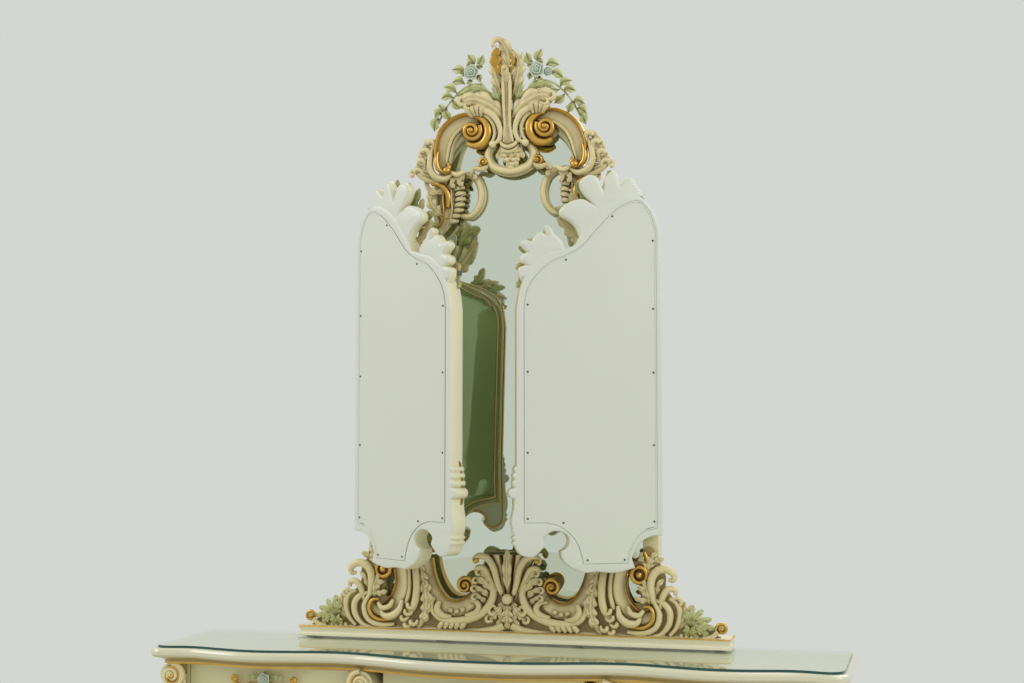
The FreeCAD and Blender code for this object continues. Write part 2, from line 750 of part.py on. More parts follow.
def drawer_pull(label, front_label, centre, level):
    """A carved pull: two curled arms either side of a flower, on two stems."""
    length = mm("pull_half_length")
    height = mm("pull_height")
    rear = mm("front_back - front_thickness - front_bow - pull_stand")
    path = [(centre + x * length, level + z * height, half * height) for x, z, half in PULL_SHARES]
    flower = disc(centre, level, mm("pull_flower_radius"), rear - mm("pull_flower_height"), rear)
    shapes = [band(path, rear - mm("pull_thickness"), rear), flower]
    for x in (centre - length / 2, centre + length / 2):
        shapes.append(disc(x, level, mm("pull_stem_radius"), rear, mm("front_back")))
    return shaped(label, one(shapes).cut(pieces[front_label].Shape))


def drawers():
    """Two drawers in each pedestal, and a shallow one over the knees."""
    tall = "divider_middle - leg_height - 2 * drawer_gap"
    rest = "bead_under - divider_middle - 2 * drawer_gap"
    rows = (
        ("lower", "leg_height + drawer_gap", tall, "floor_top + seat_gap"),
        ("upper", "divider_middle + drawer_gap", rest, "divider_top + seat_gap"),
    )
    for word, side in (("left", -1), ("right", 1)):
        for row, floor, height, box_level in rows:
            name = f"{word}_{row}_drawer"
            drawer_front(name + "_front", *between("front_left", "front_right", side), floor, height)
            drawer_box(name + "_box", *between("box_left", "box_right", side), box_level, "box_height")
            doc.recompute()
            centre = side * mm("(front_left + front_right) / 2")
            level = mm(floor) + PULL_LEVEL_SHARE * mm(height)
            drawer_pull(name + "_pull", name + "_front", centre, level)
    name = "knee_drawer"
    drawer_front(name + "_front", "-knee_half", "knee_half", "knee_front_under", "knee_drawer_height")
    drawer_box(name + "_box", "-knee_box_half", "knee_box_half", "ledge_top + seat_gap", "knee_box_height")
    doc.recompute()
    drawer_pull(name + "_pull", name + "_front", 0, mm("knee_front_under + knee_drawer_height / 2"))


def plinth():
    """The moulded plinth that carries the mirror, on small felt pads."""
    lower = box(
        "plinth_lower", ("-plinth_half", "plinth_half"), ("plinth_front", "plinth_back"),
        ("plinth_under", "plinth_top - plinth_step"),
    )
    upper = box(
        "plinth_upper", ("plinth_step - plinth_half", "plinth_half - plinth_step"),
        ("plinth_front + plinth_step", "plinth_back"), ("plinth_top - plinth_step", "plinth_top"),
    )
    named("mirror_plinth", joined("mirror_plinth", [lower, upper]))
    pads = []
    reach = mm("plinth_half - 2 * pad_radius")
    for x in (-reach, -reach / 3, reach / 3, reach):
        for y in (mm("plinth_front + 2 * pad_radius"), mm("plinth_back - 2 * pad_radius")):
            place = V(x, y, mm("table_height"))
            pads.append(Part.makeCylinder(mm("pad_radius"), mm("pad_height"), place))
    shaped("plinth_pads", Part.makeCompound(pads))


def centre_mirror():
    """The fixed mirror: frame, glass, board, and the two braces behind it."""
    across, up = mm("mirror_half"), mm("mirror_height")
    edge = both_halves(scaled(FRAME_SHARES, across, up))
    foot = mm("plinth_top - table_height")
    edge[0][0] = (edge[0][0][0], foot)
    edge[-2][-1] = (edge[-2][-1][0], foot)
    edge[-1] = [edge[-2][-1], edge[0][0]]
    sight = both_halves(scaled(SIGHT_SHARES, across, up))
    board = both_halves(scaled(BOARD_SHARES, across, up))
    margin, gap = mm("glass_margin"), mm("fit_gap")
    body = upright("centre_frame", edge, "frame_thickness", "frame_back", "table_height")
    pocket(body, sketch_on(body, "centre_sight", "XZ_Plane", flat(sight)))
    deep = "frame_thickness - board_seat"
    blind_pocket(body, "centre_board_seat", board, deep)
    blind_pocket(body, "centre_glass_seat", moved_in(sight, -margin - gap), "frame_thickness - mirror_lip")
    upright("centre_glass", moved_in(sight, gap - margin), "mirror_glass - seat_gap",
            "mirror_front + board_seat - seat_gap", "table_height")
    upright("mirror_backboard", moved_in(board, 2 * gap), "mirror_board",
            "mirror_front + board_seat + mirror_board", "table_height")
    braces = []
    for side in (-1, 1):
        span = between("brace_inner", "brace_outer", side)
        braces.append(box(f"brace_{side + 1}", span, ("frame_back", "brace_end"),
                          ("plinth_top", "plinth_top + brace_height")))
    group = doc.addObject("Part::Compound", "mirror_braces")
    group.Links = braces
    named("mirror_braces", group)


def blind_pocket(body, name, runs, depth):
    """Cut an outline from the back to a formula's depth."""
    before = body.Shape.Volume
    feature = body.newObject("PartDesign::Pocket", name + "Pocket")
    feature.Profile = sketch_on(body, name, "XZ_Plane", flat(runs))
    feature.setExpression("Length", in_sheet(depth))
    feature.Reversed = True
    doc.recompute()
    if not body.Shape.Volume < before:
        raise RuntimeError(name + " cuts nothing")


def crest_place(x, z, side=1):
    """A point of the crest from its shares."""
    return side * x * mm("mirror_half"), mm("table_height") + z * mm("mirror_height")


def crest_path(shares, side):
    """A path of the crest from its shares, with half widths."""
    half = mm("mirror_half")
    return [(*crest_place(x, z, side), width * half) for x, z, width in shares]


def crest():
    """The carved crest over the centre mirror."""
    face = mm("mirror_front")
    near = face - mm("carving_depth")
    proud = face - mm("relief_depth")
    half, up = mm("mirror_half"), mm("mirror_height")
    for word, side in (("left", -1), ("right", 1)):
        x, z = crest_place(*VOLUTE_SHARES[:2], side)
        radius = VOLUTE_SHARES[2] * half
        ball = V(*crest_place(*BALL_SHARES[:2], side), 0)
        loop = crest_place(*LOOP_SHARES[:2], side)
        shapes = [
            disc(x, z, radius, near, face),
            disc(x, z, radius / 2, proud, face),
            Part.makeSphere(BALL_SHARES[2] * half, V(ball.x, near, ball.y)),
            ring(*loop, LOOP_SHARES[2] * half, LOOP_SHARES[3] * up, LOOP_BAND_SHARE * half, near, face),
        ]
        for shares in (CREST_SCROLL_SHARES, BRIDGE_SHARES):
            shapes.append(band(crest_path(shares, side), near, face))
        for shares in (SIDE_SCROLL_SHARES, OUTER_CURL_SHARES):
            shapes.append(band(crest_path(shares, side), face - mm("side_scroll_depth"), face))
        shaped(f"crest_{word}_scroll", one(shapes))
    scrolls = ["crest_left_scroll", "crest_right_scroll"]
    plume_half = [[(x * half, mm("table_height") + z * up) for x, z in run] for run in PLUME_SHARES]
    outline = plume_half + [[(-x, z) for x, z in reversed(run)] for run in reversed(plume_half)]
    outline.append([outline[-1][-1], outline[0][0]])
    tip_share, tip_radius, neck_radius = PLUME_TIP_SHARES
    tip_level = mm("table_height") + tip_share * up
    tip_front = face - mm("plume_tip_depth")
    tip = Part.makeSphere(tip_radius * half, V(0, tip_front, tip_level))
    neck = disc(0, tip_level, neck_radius * half, tip_front, face)
    leaves = [band(crest_path(SIDE_LEAF_SHARES, side), near, face) for side in (-1, 1)]
    shaped("crest_plume", clear_of(one([prism(outline, proud, face), tip, neck] + leaves), scrolls))
    bouquets = []
    for side in (-1, 1):
        rose = disc(*crest_place(*ROSE_SHARES[:2], side), ROSE_SHARES[2] * half, proud, face)
        sprig = band(crest_path(SPRIG_SHARES, side), near, face)
        bouquets.append(clear_of(one([rose, sprig]), scrolls + ["crest_plume"]))
    shaped("crest_roses", Part.makeCompound(bouquets))
    grapes(scrolls, near, face)


def grapes(scrolls, near, face):
    """The bunch of grapes in its ring."""
    half, up = mm("mirror_half"), mm("mirror_height")
    x, z = crest_place(*RING_SHARES[:2])
    shapes = [ring(x, z, RING_SHARES[2] * half, RING_SHARES[3] * up, RING_BAND_SHARE * half, near, face)]
    radius = GRAPE_RADIUS_SHARE * half
    top = mm("table_height") + GRAPE_TOP_SHARE * up
    depth = (near + face) / 2
    for row, count in enumerate(GRAPE_COUNTS):
        for i in range(count):
            across, down = GRAPE_STEP_SHARES
            place = V((i - (count - 1) / 2) * radius * across, depth, top - row * radius * down)
            shapes.append(Part.makeSphere(radius, place))
    stalk = [(0, top, radius), (0, top + 2 * radius, 2 * radius), (0, z + RING_SHARES[3] * up, 2 * radius)]
    shapes.append(band(stalk, near, face))
    shaped("grape_cartouche", clear_of(one(shapes), scrolls + ["crest_plume"]))


def base_carvings():
    """The carvings that stand on the plinth and cradle the mirror."""
    face = mm("mirror_front")
    half, up = mm("base_width") / 2, mm("base_height")
    foot = mm("plinth_top")
    calyx_half = scaled(CALYX_SHARES, half, up, foot)
    outline = calyx_half + [[(-x, z) for x, z in reversed(run)] for run in reversed(calyx_half)]
    outline.append([outline[-1][-1], outline[0][0]])
    shaped("base_calyx", prism(outline, face - mm("relief_depth"), face))
    for word, side in (("left", -1), ("right", 1)):
        runs = scaled(BASE_CARVING_SHARES, side * half, up, foot)
        shape = prism(runs, face - mm("carving_depth"), face)
        x, z, radius = BASE_HOLE_SHARES
        through = (mm("mirror_front - overrun"), mm("mirror_front + overrun"))
        hole = disc(side * x * half, foot + z * up, radius * half, *through)
        shaped(f"base_{word}_carving", clear_of(shape.cut(hole), ["base_calyx"]))


def wing_runs(shares, side):
    """A wing's outline from its shares, measured from the hinge line."""
    return scaled(shares, side * mm("wing_width"), mm("wing_height"))


def hang(item, side):
    """Turn a wing piece about its hinge line to the angle at which the wing rests."""
    word = "right" if side > 0 else "left"
    sign = "" if side > 0 else "-"
    item.Placement = FreeCAD.Placement(V(0, 0, 0), FreeCAD.Rotation(UP, 1))
    item.setExpression("Placement.Base.x", in_sheet(f"{sign}(hinge_reach)"))
    item.setExpression("Placement.Base.y", in_sheet("mirror_front"))
    item.setExpression("Placement.Base.z", in_sheet("wing_foot"))
    item.setExpression("Placement.Rotation.Angle", in_sheet(f"{sign}({word}_wing_angle)"))


def hung(label, shape, side):
    """A wing piece whose shape is worked out here, hung like the others."""
    item = shaped(label, shape)
    hang(item, side)
    return item


def wing(side):
    """One folding wing; it is drawn closed over the centre and then opened to its angle."""
    word = "right" if side > 0 else "left"
    inward = -side
    margin, gap = mm("glass_margin"), mm("fit_gap")
    edge = wing_runs(WING_SHARES, inward)
    board = wing_runs(WING_BOARD_SHARES, inward)
    sight = wing_runs(WING_SIGHT_SHARES, inward)
    frame = doc.addObject("PartDesign::Body", f"{word}_wing_frame")
    pad(frame, sketch_on(frame, f"{word}_wing_edge", "XZ_Plane", flat(edge)), "wing_thickness")
    pocket(frame, sketch_on(frame, f"{word}_wing_sight", "XZ_Plane", flat(sight)))
    glass_seat = flat(moved_in(sight, -margin - gap))
    pocket(frame, sketch_on(frame, f"{word}_wing_glass_seat", "XZ_Plane", glass_seat, "wing_lip"))
    pocket(frame, sketch_on(frame, f"{word}_wing_board_seat", "XZ_Plane", flat(board), "wing_board_seat"))
    hang(named(f"{word}_wing_frame", frame), side)
    board_thickness = "wing_thickness - wing_board_seat - seat_gap"
    layers = (
        ("glass", moved_in(sight, gap - margin), "mirror_glass - seat_gap", "wing_lip"),
        ("board", moved_in(board, 2 * gap), board_thickness, "wing_board_seat"),
    )
    for layer, runs, thickness, lift in layers:
        body = doc.addObject("PartDesign::Body", f"{word}_wing_{layer}")
        pad(body, sketch_on(body, f"{word}_{layer}_edge", "XZ_Plane", flat(runs), lift), thickness)
        hang(named(f"{word}_wing_{layer}", body), side)
    back, front = -mm("wing_leaf_margin"), -mm("wing_thickness - wing_leaf_margin")
    solid_frame = prism(edge, -mm("wing_thickness"), 0)
    leaves = []
    for shares in (WING_LEAF_SHARES, WING_LOWER_LEAF_SHARES):
        leaves.append(prism(wing_runs(shares, inward), front, back).cut(solid_frame))
    hung(f"{word}_wing_leaves", Part.makeCompound(leaves), side)
    nails(word, side, inward)


def nails(word, side, inward):
    """Small nails that hold a wing's board."""
    face = -mm("wing_thickness - seat_gap")
    shapes = []
    for x, z in NAIL_SHARES:
        place = V(inward * x * mm("wing_width"), face, z * mm("wing_height"))
        head = Part.makeCylinder(mm("nail_head_radius"), mm("nail_head_height"), place, -BACKWARD)
        shapes.append(one([head, Part.makeCylinder(mm("nail_radius"), mm("nail_length"), place, BACKWARD)]))
    hung(f"{word}_wing_nails", Part.makeCompound(shapes), side)


def hinge_leaf(inward, middle, moving):
    """A leaf with its knuckles: the wing's carries the middle one, the frame's the others."""
    height, depth, thickness = mm("knuckle_height"), mm("leaf_width"), mm("leaf_thickness")
    step = height + mm("knuckle_gap")
    low = middle - height / 2
    levels = [low] if moving else [low - step, low + step]
    left = mm("hinge_offset - leaf_thickness") if inward > 0 else -mm("hinge_offset")
    front = -depth if moving else 0
    shapes = []
    for level in levels:
        shapes.append(Part.makeBox(thickness, depth, height, V(left, front, level)))
        shapes.append(Part.makeCylinder(mm("knuckle_radius"), height, V(0, 0, level)))
    if not moving:
        clear = mm("knuckle_radius + knuckle_gap + leaf_thickness")
        shapes.append(Part.makeBox(thickness, depth - clear, 2 * step + height, V(left, clear, levels[0])))
    bore = Part.makeCylinder(mm("pin_radius + pin_gap"), 2 * step + height, V(0, 0, low - step))
    return one(shapes).cut(bore)


def hinges():
    """Three butt hinges on each wing: fixed leaves, wing leaves and pins."""
    fixed = []
    pins = []
    foot, axis_y = mm("wing_foot"), mm("mirror_front")
    for word, side in (("left", -1), ("right", 1)):
        moving = []
        for share in HINGE_SHARES:
            middle = share * mm("wing_height")
            moving.append(hinge_leaf(-side, middle, True))
            leaf = hinge_leaf(-side, middle, False)
            leaf.translate(V(side * mm("hinge_reach"), axis_y, foot))
            fixed.append(leaf)
            reach = 1.5 * mm("knuckle_height") + mm("knuckle_gap")
            base = V(side * mm("hinge_reach"), axis_y, foot + middle - reach)
            shank = Part.makeCylinder(mm("pin_radius"), 2 * reach, base)
            head = Part.makeCylinder(mm("pin_head_radius"), mm("pin_head_height"), base + UP * 2 * reach)
            pins.append(one([shank, head]))
        hung(f"{word}_wing_hinge_leaves", Part.makeCompound(moving), side)
    shaped("fixed_hinge_leaves", Part.makeCompound(fixed))
    shaped("hinge_pins", Part.makeCompound(pins))


def build():
    """Model every sub-part."""
    table_top()
    glass_top()
    top_bead()
    legs()
    pedestals()
    back_panel()
    drawers()
    plinth()
    centre_mirror()
    crest()
    base_carvings()
    for side in (-1, 1):
        wing(side)
    hinges()
    doc.recompute()


def check():
    """Stop if any object failed or any sub-part is not a sound solid."""
    for item in doc.Objects:
        if "Invalid" in item.State or "Error" in item.State:
            raise RuntimeError(f"{item.Label} failed: {item.State}")
    for label, item in pieces.items():
        if item.Shape.isNull() or not item.Shape.isValid() or not item.Shape.Solids:
            raise RuntimeError(f"{label} has no sound shape")


build()
check()
os.makedirs("parts", exist_ok=True)
for label, item in pieces.items():
    item.Shape.exportStep(f"parts/{label}.step")
print(len(pieces), "sub-parts,", sum(len(item.Shape.Solids) for item in pieces.values()), "solids")
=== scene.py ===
"""A rococo dressing table with a fixed centre mirror and two folding mirror wings, dressed over its frame."""
from math import cos, pi, radians, sin

import bmesh
import bpy
import numpy as np
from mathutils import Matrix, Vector
from mathutils.bvhtree import BVHTree


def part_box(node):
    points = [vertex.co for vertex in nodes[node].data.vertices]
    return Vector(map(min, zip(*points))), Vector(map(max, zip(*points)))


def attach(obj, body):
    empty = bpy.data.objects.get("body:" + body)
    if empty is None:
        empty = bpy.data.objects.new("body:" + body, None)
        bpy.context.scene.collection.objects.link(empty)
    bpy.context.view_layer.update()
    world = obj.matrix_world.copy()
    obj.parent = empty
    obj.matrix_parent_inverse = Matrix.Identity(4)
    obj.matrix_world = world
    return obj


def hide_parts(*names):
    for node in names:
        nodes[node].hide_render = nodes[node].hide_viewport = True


bl_info = {
    "name": "Rococo dressing table",
    "version": (1, 0, 0),
    "blender": (4, 5, 0),
    "location": "View3D > Sidebar > Dressing table",
    "description": "Carvings, mouldings and finishes of a rococo dressing table",
    "category": "Object",
}

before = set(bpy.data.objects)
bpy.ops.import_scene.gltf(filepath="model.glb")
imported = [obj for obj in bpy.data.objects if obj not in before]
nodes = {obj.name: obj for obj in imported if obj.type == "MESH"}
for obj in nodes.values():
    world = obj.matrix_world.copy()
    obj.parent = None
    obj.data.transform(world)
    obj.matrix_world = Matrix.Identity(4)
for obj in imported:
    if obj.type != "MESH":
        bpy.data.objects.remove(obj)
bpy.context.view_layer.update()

CM = 0.01

# Where the carvings stand, in metres from the frame's pieces. The plinth's rise alone is in centimetres
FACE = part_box("centre_frame")[0].y
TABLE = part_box("glass_top")[1].z
PLINTH_RISE = (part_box("mirror_plinth")[1].z - TABLE) / CM
MIRROR_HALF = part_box("centre_frame")[1].x

# The height that the mirror's outlines are shares of: from the glass top to the tip of the plume
MIRROR_HEIGHT = 1.487

# How deep the centre mirror's parts lie, out from its face in metres, and the ground under the base's carving
RIM = (-0.014, 0.0)
BACK_FRAME = (-0.044, -0.0141)
PANE_OF_GLASS = (-0.0178, -0.0142)
CARVED_GROUND = (0.0, 0.006)

# The finishes of a carved piece, and the mark that keeps their names apart from the frame's plain materials
FINISHES = ("carved_ivory", "antique_gilt", "leaf_green", "rose_blue")
IVORY, GILT, GREEN, ROSE = range(4)
FINISH_MARK = "dressing_"

# The hinge line of each wing, its foot, its size and its angle at rest
HINGE_OUT = 0.373
WING_FOOT = 0.981
WING_WIDTH = 0.352
WING_HEIGHT = 0.896
WING_ANGLES = {"left": radians(-28.7), "right": radians(23.4)}

# How deep its parts lie, in metres from its mirror side
WING_BODY = (0.004, 0.048)
WING_LIP = (0.005, 0.029)
WING_LEAVES = {"leaves": (0.02, 0.0465), "lower_leaves": (0.018, 0.0465)}
WING_BACK_BEAD = 0.0478
WING_MOULDINGS = 0.0042
WING_CARVING = 0.0195

# Where a folded wing passes over the base, in centimetres off the centre line: its free edge, the corner of
# its foot and the end of the curve beside that. Then the room behind it and under it, as shares of the way
WING_PASSES = (2.0, 29.8, 31.6)
ROOM_BEHIND_WING = 0.132
ROOM_UNDER_WING = 1.2

# How far a pull's middle stands off its drawer, and the depth past which its stems don't reach, in metres
PULL_OFF = 0.009
PULL_STEMS = -0.05

# The front face of the posts, and the height in metres and thickness in centimetres of the ankle's rings
POST_FACE = -0.108
ANKLE_RINGS = ((0.082, 0.22), (0.088, 0.14))

# The camera's lens in millimetres, where it stands, and how it is turned in degrees
LENS = 52.73
CAMERA_AT = (0.9995, -3.4274, 1.2825)
CAMERA_TURN = (93.9, 0, 15.6)

# How far the carved crest stands off the centre line, by its height over the glass, in centimetres
LEAN_HEIGHTS = (90, 104, 110, 118, 122, 126, 130)
LEAN = (0, 0.6, 0.6, 0.6, 0.4, 0.15, 0)


# Small tools

def colour(red, green, blue):
    """A colour written as on a screen, 0 to 255, as the linear values that the shaders take."""
    linear = [c / 255 / 12.92 if c <= 10 else ((c / 255 + 0.055) / 1.055) ** 2.4 for c in (red, green, blue)]
    return (*linear, 1)


def smooth(points, count=8, closed=False):
    """A curve through the points, with that many steps between each two."""
    p = np.array(points, float)
    if closed:
        p = np.vstack([p[-1], p, p[:2]])
    else:
        p = np.vstack([2 * p[0] - p[1], p, 2 * p[-1] - p[-2]])
    out = []
    for a, b, c, d in zip(p, p[1:], p[2:], p[3:]):
        for t in np.arange(count) / count:
            out.append(0.5 * (
                2 * b + (c - a) * t + (2 * a - 5 * b + 4 * c - d) * t * t
                + (3 * b - a - 3 * c + d) * t ** 3
            ))
    if not closed:
        out.append(p[-2])
    return np.array(out)


def runs_path(runs, count=6):
    """One closed line from runs that each have their own curve, with corners where they meet."""
    out = []
    for run in runs:
        line = smooth(run, count) if len(run) > 2 else np.array(run, float)
        out.extend(line[:-1])
    return np.array(out)


def unit(v):
    """The vectors, each drawn to length 1."""
    length = np.linalg.norm(v, axis=-1, keepdims=True)
    return v / np.maximum(length, 1e-12)


def face_outward(mesh, merge=0.0):
    """Merge points that lie together, where asked, and turn every face outward."""
    work = bmesh.new()
    work.from_mesh(mesh)
    if merge:
        bmesh.ops.remove_doubles(work, verts=work.verts, dist=merge)
    bmesh.ops.recalc_face_normals(work, faces=work.faces)
    work.to_mesh(mesh)
    work.free()
    mesh.update()


def new_piece(name, data):
    """An object in the scene that shows the data."""
    piece = bpy.data.objects.new(name, data)
    bpy.context.scene.collection.objects.link(piece)
    return piece


class Shape:
    """Closed shells gathered into one mesh, each face with a finish and each point with a depth of glaze and
    painted shade.

    Points are centimetres: across from the centre, up from the glass top, and out from the mirror's face.
    """

    def __init__(self):
        self.points = []
        self.faces = []
        self.finishes = []
        self.glaze_and_shade = []

    def loft(self, rings, finishes, glaze_and_shade=0.0, closed=False):
        """Skin closed rings of equal count. The ends are filled unless the run of rings is closed."""
        rings = np.asarray(rings, float)
        count, size, _ = rings.shape
        first = len(self.points)
        self.points.extend(rings.reshape(-1, 3).tolist())
        glaze_and_shade = np.broadcast_to(np.asarray(glaze_and_shade, float), (count, size))
        self.glaze_and_shade.extend(glaze_and_shade.reshape(-1).tolist())
        if np.isscalar(finishes):
            finishes = [finishes] * size
        for i in range(count if closed else count - 1):
            j = (i + 1) % count
            for k in range(size):
                m = (k + 1) % size
                self.faces.append((
                    first + i * size + k, first + i * size + m, first + j * size + m, first + j * size + k,
                ))
                self.finishes.append(finishes[k])
        if closed:
            return
        for i in (0, count - 1):
            centre = len(self.points)
            self.points.append(rings[i].mean(0).tolist())
            self.glaze_and_shade.append(float(glaze_and_shade[i].mean()))
            for k in range(size):
                self.faces.append((first + i * size + k, first + i * size + (k + 1) % size, centre))
                self.finishes.append(finishes[k])

    def ribbon(self, path, section, height, count=8, closed=False, floor=0.0, mitre=False):
        """A section of (across, rise, finish, depth of glaze and painted shade) run along points of (across,
        up, half width).

        A mitred ribbon is closed and keeps the corners of its path.
        """
        line = np.array(path, float) if mitre else smooth(path, count, closed)
        closed = closed or mitre
        spot, width = line[:, :2], line[:, 2]
        if mitre:
            before = unit(spot - np.roll(spot, 1, 0))
            after = np.roll(before, -1, 0)
            first = np.stack([-before[:, 1], before[:, 0]], 1)
            second = np.stack([-after[:, 1], after[:, 0]], 1)
            side = (first + second) / np.maximum(0.4, 1 + (first * second).sum(1, keepdims=True))
        else:
            ahead = np.roll(spot, -1, 0) - np.roll(spot, 1, 0) if closed else np.gradient(spot, axis=0)
            along = unit(ahead)
            side = np.stack([-along[:, 1], along[:, 0]], 1)
        rise = height * np.minimum(1, width / width.max()) ** 0.5
        rings = []
        for p, s, w, h in zip(spot, side, width, rise):
            rings.append([(*(p + s * u * w), floor + v * h) for u, v, _, _ in section])
        self.loft(rings, [c for _, _, c, _ in section], [g for _, _, _, g in section], closed)

    def tube(self, path, finish, sides=8, count=6, squash=1.0, glaze_and_shade=0.0, closed=False):
        """A round bar along points of (across, up, out, radius)."""
        line = smooth(path, count, closed)
        spot, radius = line[:, :3], np.maximum(line[:, 3], 0.01)
        if closed:
            along = unit(np.roll(spot, -1, 0) - np.roll(spot, 1, 0))
        else:
            along = unit(np.gradient(spot, axis=0))
        side = np.cross(along[0], (0, 0, 1.0))
        if np.linalg.norm(side) < 0.1:
            side = np.array((1.0, 0, 0))
        rings = []
        for p, a, r in zip(spot, along, radius):
            side = unit(side - a * (side @ a))
            out = np.cross(side, a)
            turn = np.arange(sides) * 2 * pi / sides
            rings.append(p + r * (np.outer(np.cos(turn), side) + squash * np.outer(np.sin(turn), out)))
        self.loft(rings, finish, glaze_and_shade, closed)

    def ball(self, x, z, out, radius, finish, sides=12, squash=1.0, glaze_and_shade=0.0):
        """A round boss, flatter or deeper by its squash."""
        rings = []
        for a in np.linspace(0.16, pi - 0.16, max(5, sides // 2 + 1)):
            turn = np.arange(sides) * 2 * pi / sides
            rings.append(np.stack([
                x + radius * sin(a) * np.cos(turn), z + radius * sin(a) * np.sin(turn),
                np.full(sides, out + radius * squash * cos(a)),
            ], 1))
        self.loft(rings, finish, glaze_and_shade)

    def volute(self, x, z, radius, turns, start, finish, bar, out, way=1, rise=1.0, eye=None):
        """A spiral bar that winds in to an eye and rises to it. Way is 1 for anticlockwise."""
        steps = max(8, int(turns * 10))
        path = []
        for t in np.linspace(0, 1, steps):
            r = radius * (1 - t) ** 0.85 + bar * 0.5 * t
            a = start + way * turns * 2 * pi * t
            path.append((x + r * cos(a), z + r * sin(a), out + rise * t, bar * (1 - 0.45 * t)))
        self.tube(path, finish, count=3)
        self.ball(x, z, out + rise, bar * 0.95, finish if eye is None else eye)

    def hook(self, x, z, out, size, start, sweep, bar, rise=0.5):
        """A leaf's curled end: a bar along an arc that draws in. Start and sweep are degrees."""
        path = []
        for t in np.linspace(0, 1, 8):
            r = size * (1 - 0.55 * t)
            a = radians(start + sweep * t)
            path.append((
                x + r * cos(a), z + r * sin(a), out + rise * sin(pi * 0.85 * t),
                bar * (0.3 + 0.7 * sin(pi * (0.12 + 0.62 * t))),
            ))
        self.tube(path, IVORY, 8, 3, glaze_and_shade=0.1)

    def leaf(self, spine, width, lobes=4, finish=IVORY, notch=0.6, puff=0.26, thick=0.45, cup=-0.18,
             tip=0.12, base=0.35, steps=7, across=4, point=0.8, crease=0.20):
        """A carved leaf along points of (across, up, out): a rib, and lobes that sweep to the tip.

        Notch is how deep the lobes are cut, puff and cup how they swell and bend, and crease how high the
        rib stands.
        """
        line = smooth(spine, 8)
        length = np.concatenate([[0], np.cumsum(np.linalg.norm(np.diff(line, axis=0), axis=1))])
        t = np.linspace(0, 1, max(8, lobes * steps))
        spot = np.stack([np.interp(t * length[-1], length, line[:, k]) for k in range(3)], 1)
        along = unit(np.gradient(spot, axis=0))
        side = np.array((-along[0][1], along[0][0], 0.0))
        if np.linalg.norm(side) < 0.1:
            side = np.array((1.0, 0, 0))
        shape = (base + (1 - base) * np.sin(np.minimum(1, t / 0.45) * pi / 2)) \
            * np.where(t > 0.5, np.cos((t - 0.5) / 0.5 * pi / 2 * (1 - tip)) ** point, 1)
        phase = (t * lobes) % 1.0
        lobe = np.sin(pi * phase ** 1.5) ** 0.6
        lobe[-1] = lobe[-2] * 0.6
        s = np.linspace(-1, 1, 2 * across + 1)
        rings = []
        glaze_and_shade_depths = []
        for i, (p, a) in enumerate(zip(spot, along)):
            side = unit(side - a * (side @ a))
            out = np.cross(side, a)
            if i == 0 and out[2] < 0:
                flip = -1
            elif i == 0:
                flip = 1
            out = out * flip
            reach = width * shape[i] * (1 - notch * (1 - lobe[i]) * np.abs(s) ** 1.5)
            sweep = width * 0.45 * np.abs(s) ** 1.6 * (1 - t[i] * 0.5)
            height = width * (
                crease * np.exp(-(s / 0.16) ** 2) + puff * lobe[i] * np.abs(s) * (1.25 - np.abs(s)) * 2
                + cup * s ** 2
            ) * (0.35 + 0.65 * shape[i])
            top = p + np.outer(s * reach, side) + np.outer(sweep, a) + np.outer(height, out)
            bottom = top - np.outer(thick * (1 - 0.7 * np.abs(s) ** 2), out)
            rings.append(np.vstack([top, bottom[::-1]]))
            # Glaze and painted shade gather in the hollows beside the rib, where the lobes are cut, and on
            # the leaf's underside
            hollow = np.exp(-((np.abs(s) - 0.3) / 0.16) ** 2) * 0.75 + (1 - lobe[i]) * np.abs(s)
            glaze_and_shade_depths.append(np.concatenate([np.clip(hollow, 0, 1), np.full(len(s), 0.6)]))
        rings = np.array(rings)
        rings[..., 2] = np.maximum(rings[..., 2], 0.0)
        self.loft(rings, finish, glaze_and_shade_depths)

    def rose(self, x, z, out, radius):
        """An open rose: three rounds of overlapping petals round a bud."""
        around = 30
        turn = np.arange(around) * 2 * pi / around
        rings = []
        glaze_and_shade_depths = []
        for r, high, petals, shift in (
            (0.06, 0.78, 3, 0.0), (0.16, 0.84, 3, 0.3), (0.24, 0.80, 3, 0.3), (0.27, 0.52, 3, 0.3),
            (0.36, 0.58, 5, 0.9), (0.52, 0.74, 5, 0.9), (0.58, 0.70, 5, 0.9), (0.60, 0.36, 5, 0.9),
            (0.72, 0.42, 5, 0.2), (0.92, 0.55, 5, 0.2), (1.0, 0.46, 5, 0.2), (0.9, 0.2, 5, 0.2),
            (0.4, 0.0, 5, 0.2),
        ):
            wave = 1 - 0.13 * np.abs(np.cos(petals / 2 * turn + shift)) ** 3
            rr = r * radius * wave
            h = high * radius * (0.9 + 0.1 * np.cos(petals * turn + 2 * shift))
            rings.append(np.stack([x + rr * np.cos(turn), z + rr * np.sin(turn), out + h], 1))
            # The low rounds between the petals take glaze and painted shade
            glaze_and_shade_depths.append(np.full(around, 0.9 if high in (0.52, 0.36, 0.2) else 0.15))
        self.loft(rings, ROSE, glaze_and_shade_depths)

    def join(self, other, across=1, shift=0.0):
        """Add another shape, turned over the centre line where across is -1."""
        first = len(self.points)
        self.points.extend([(across * x + shift, z, out) for x, z, out in other.points])
        self.faces.extend([tuple(first + i for i in face) for face in other.faces])
        self.finishes.extend(other.finishes)
        self.glaze_and_shade.extend(other.glaze_and_shade)

    def both(self, other, shift=0.0):
        """Add another shape on the right and on the left."""
        self.join(other, 1, shift)
        self.join(other, -1, shift)

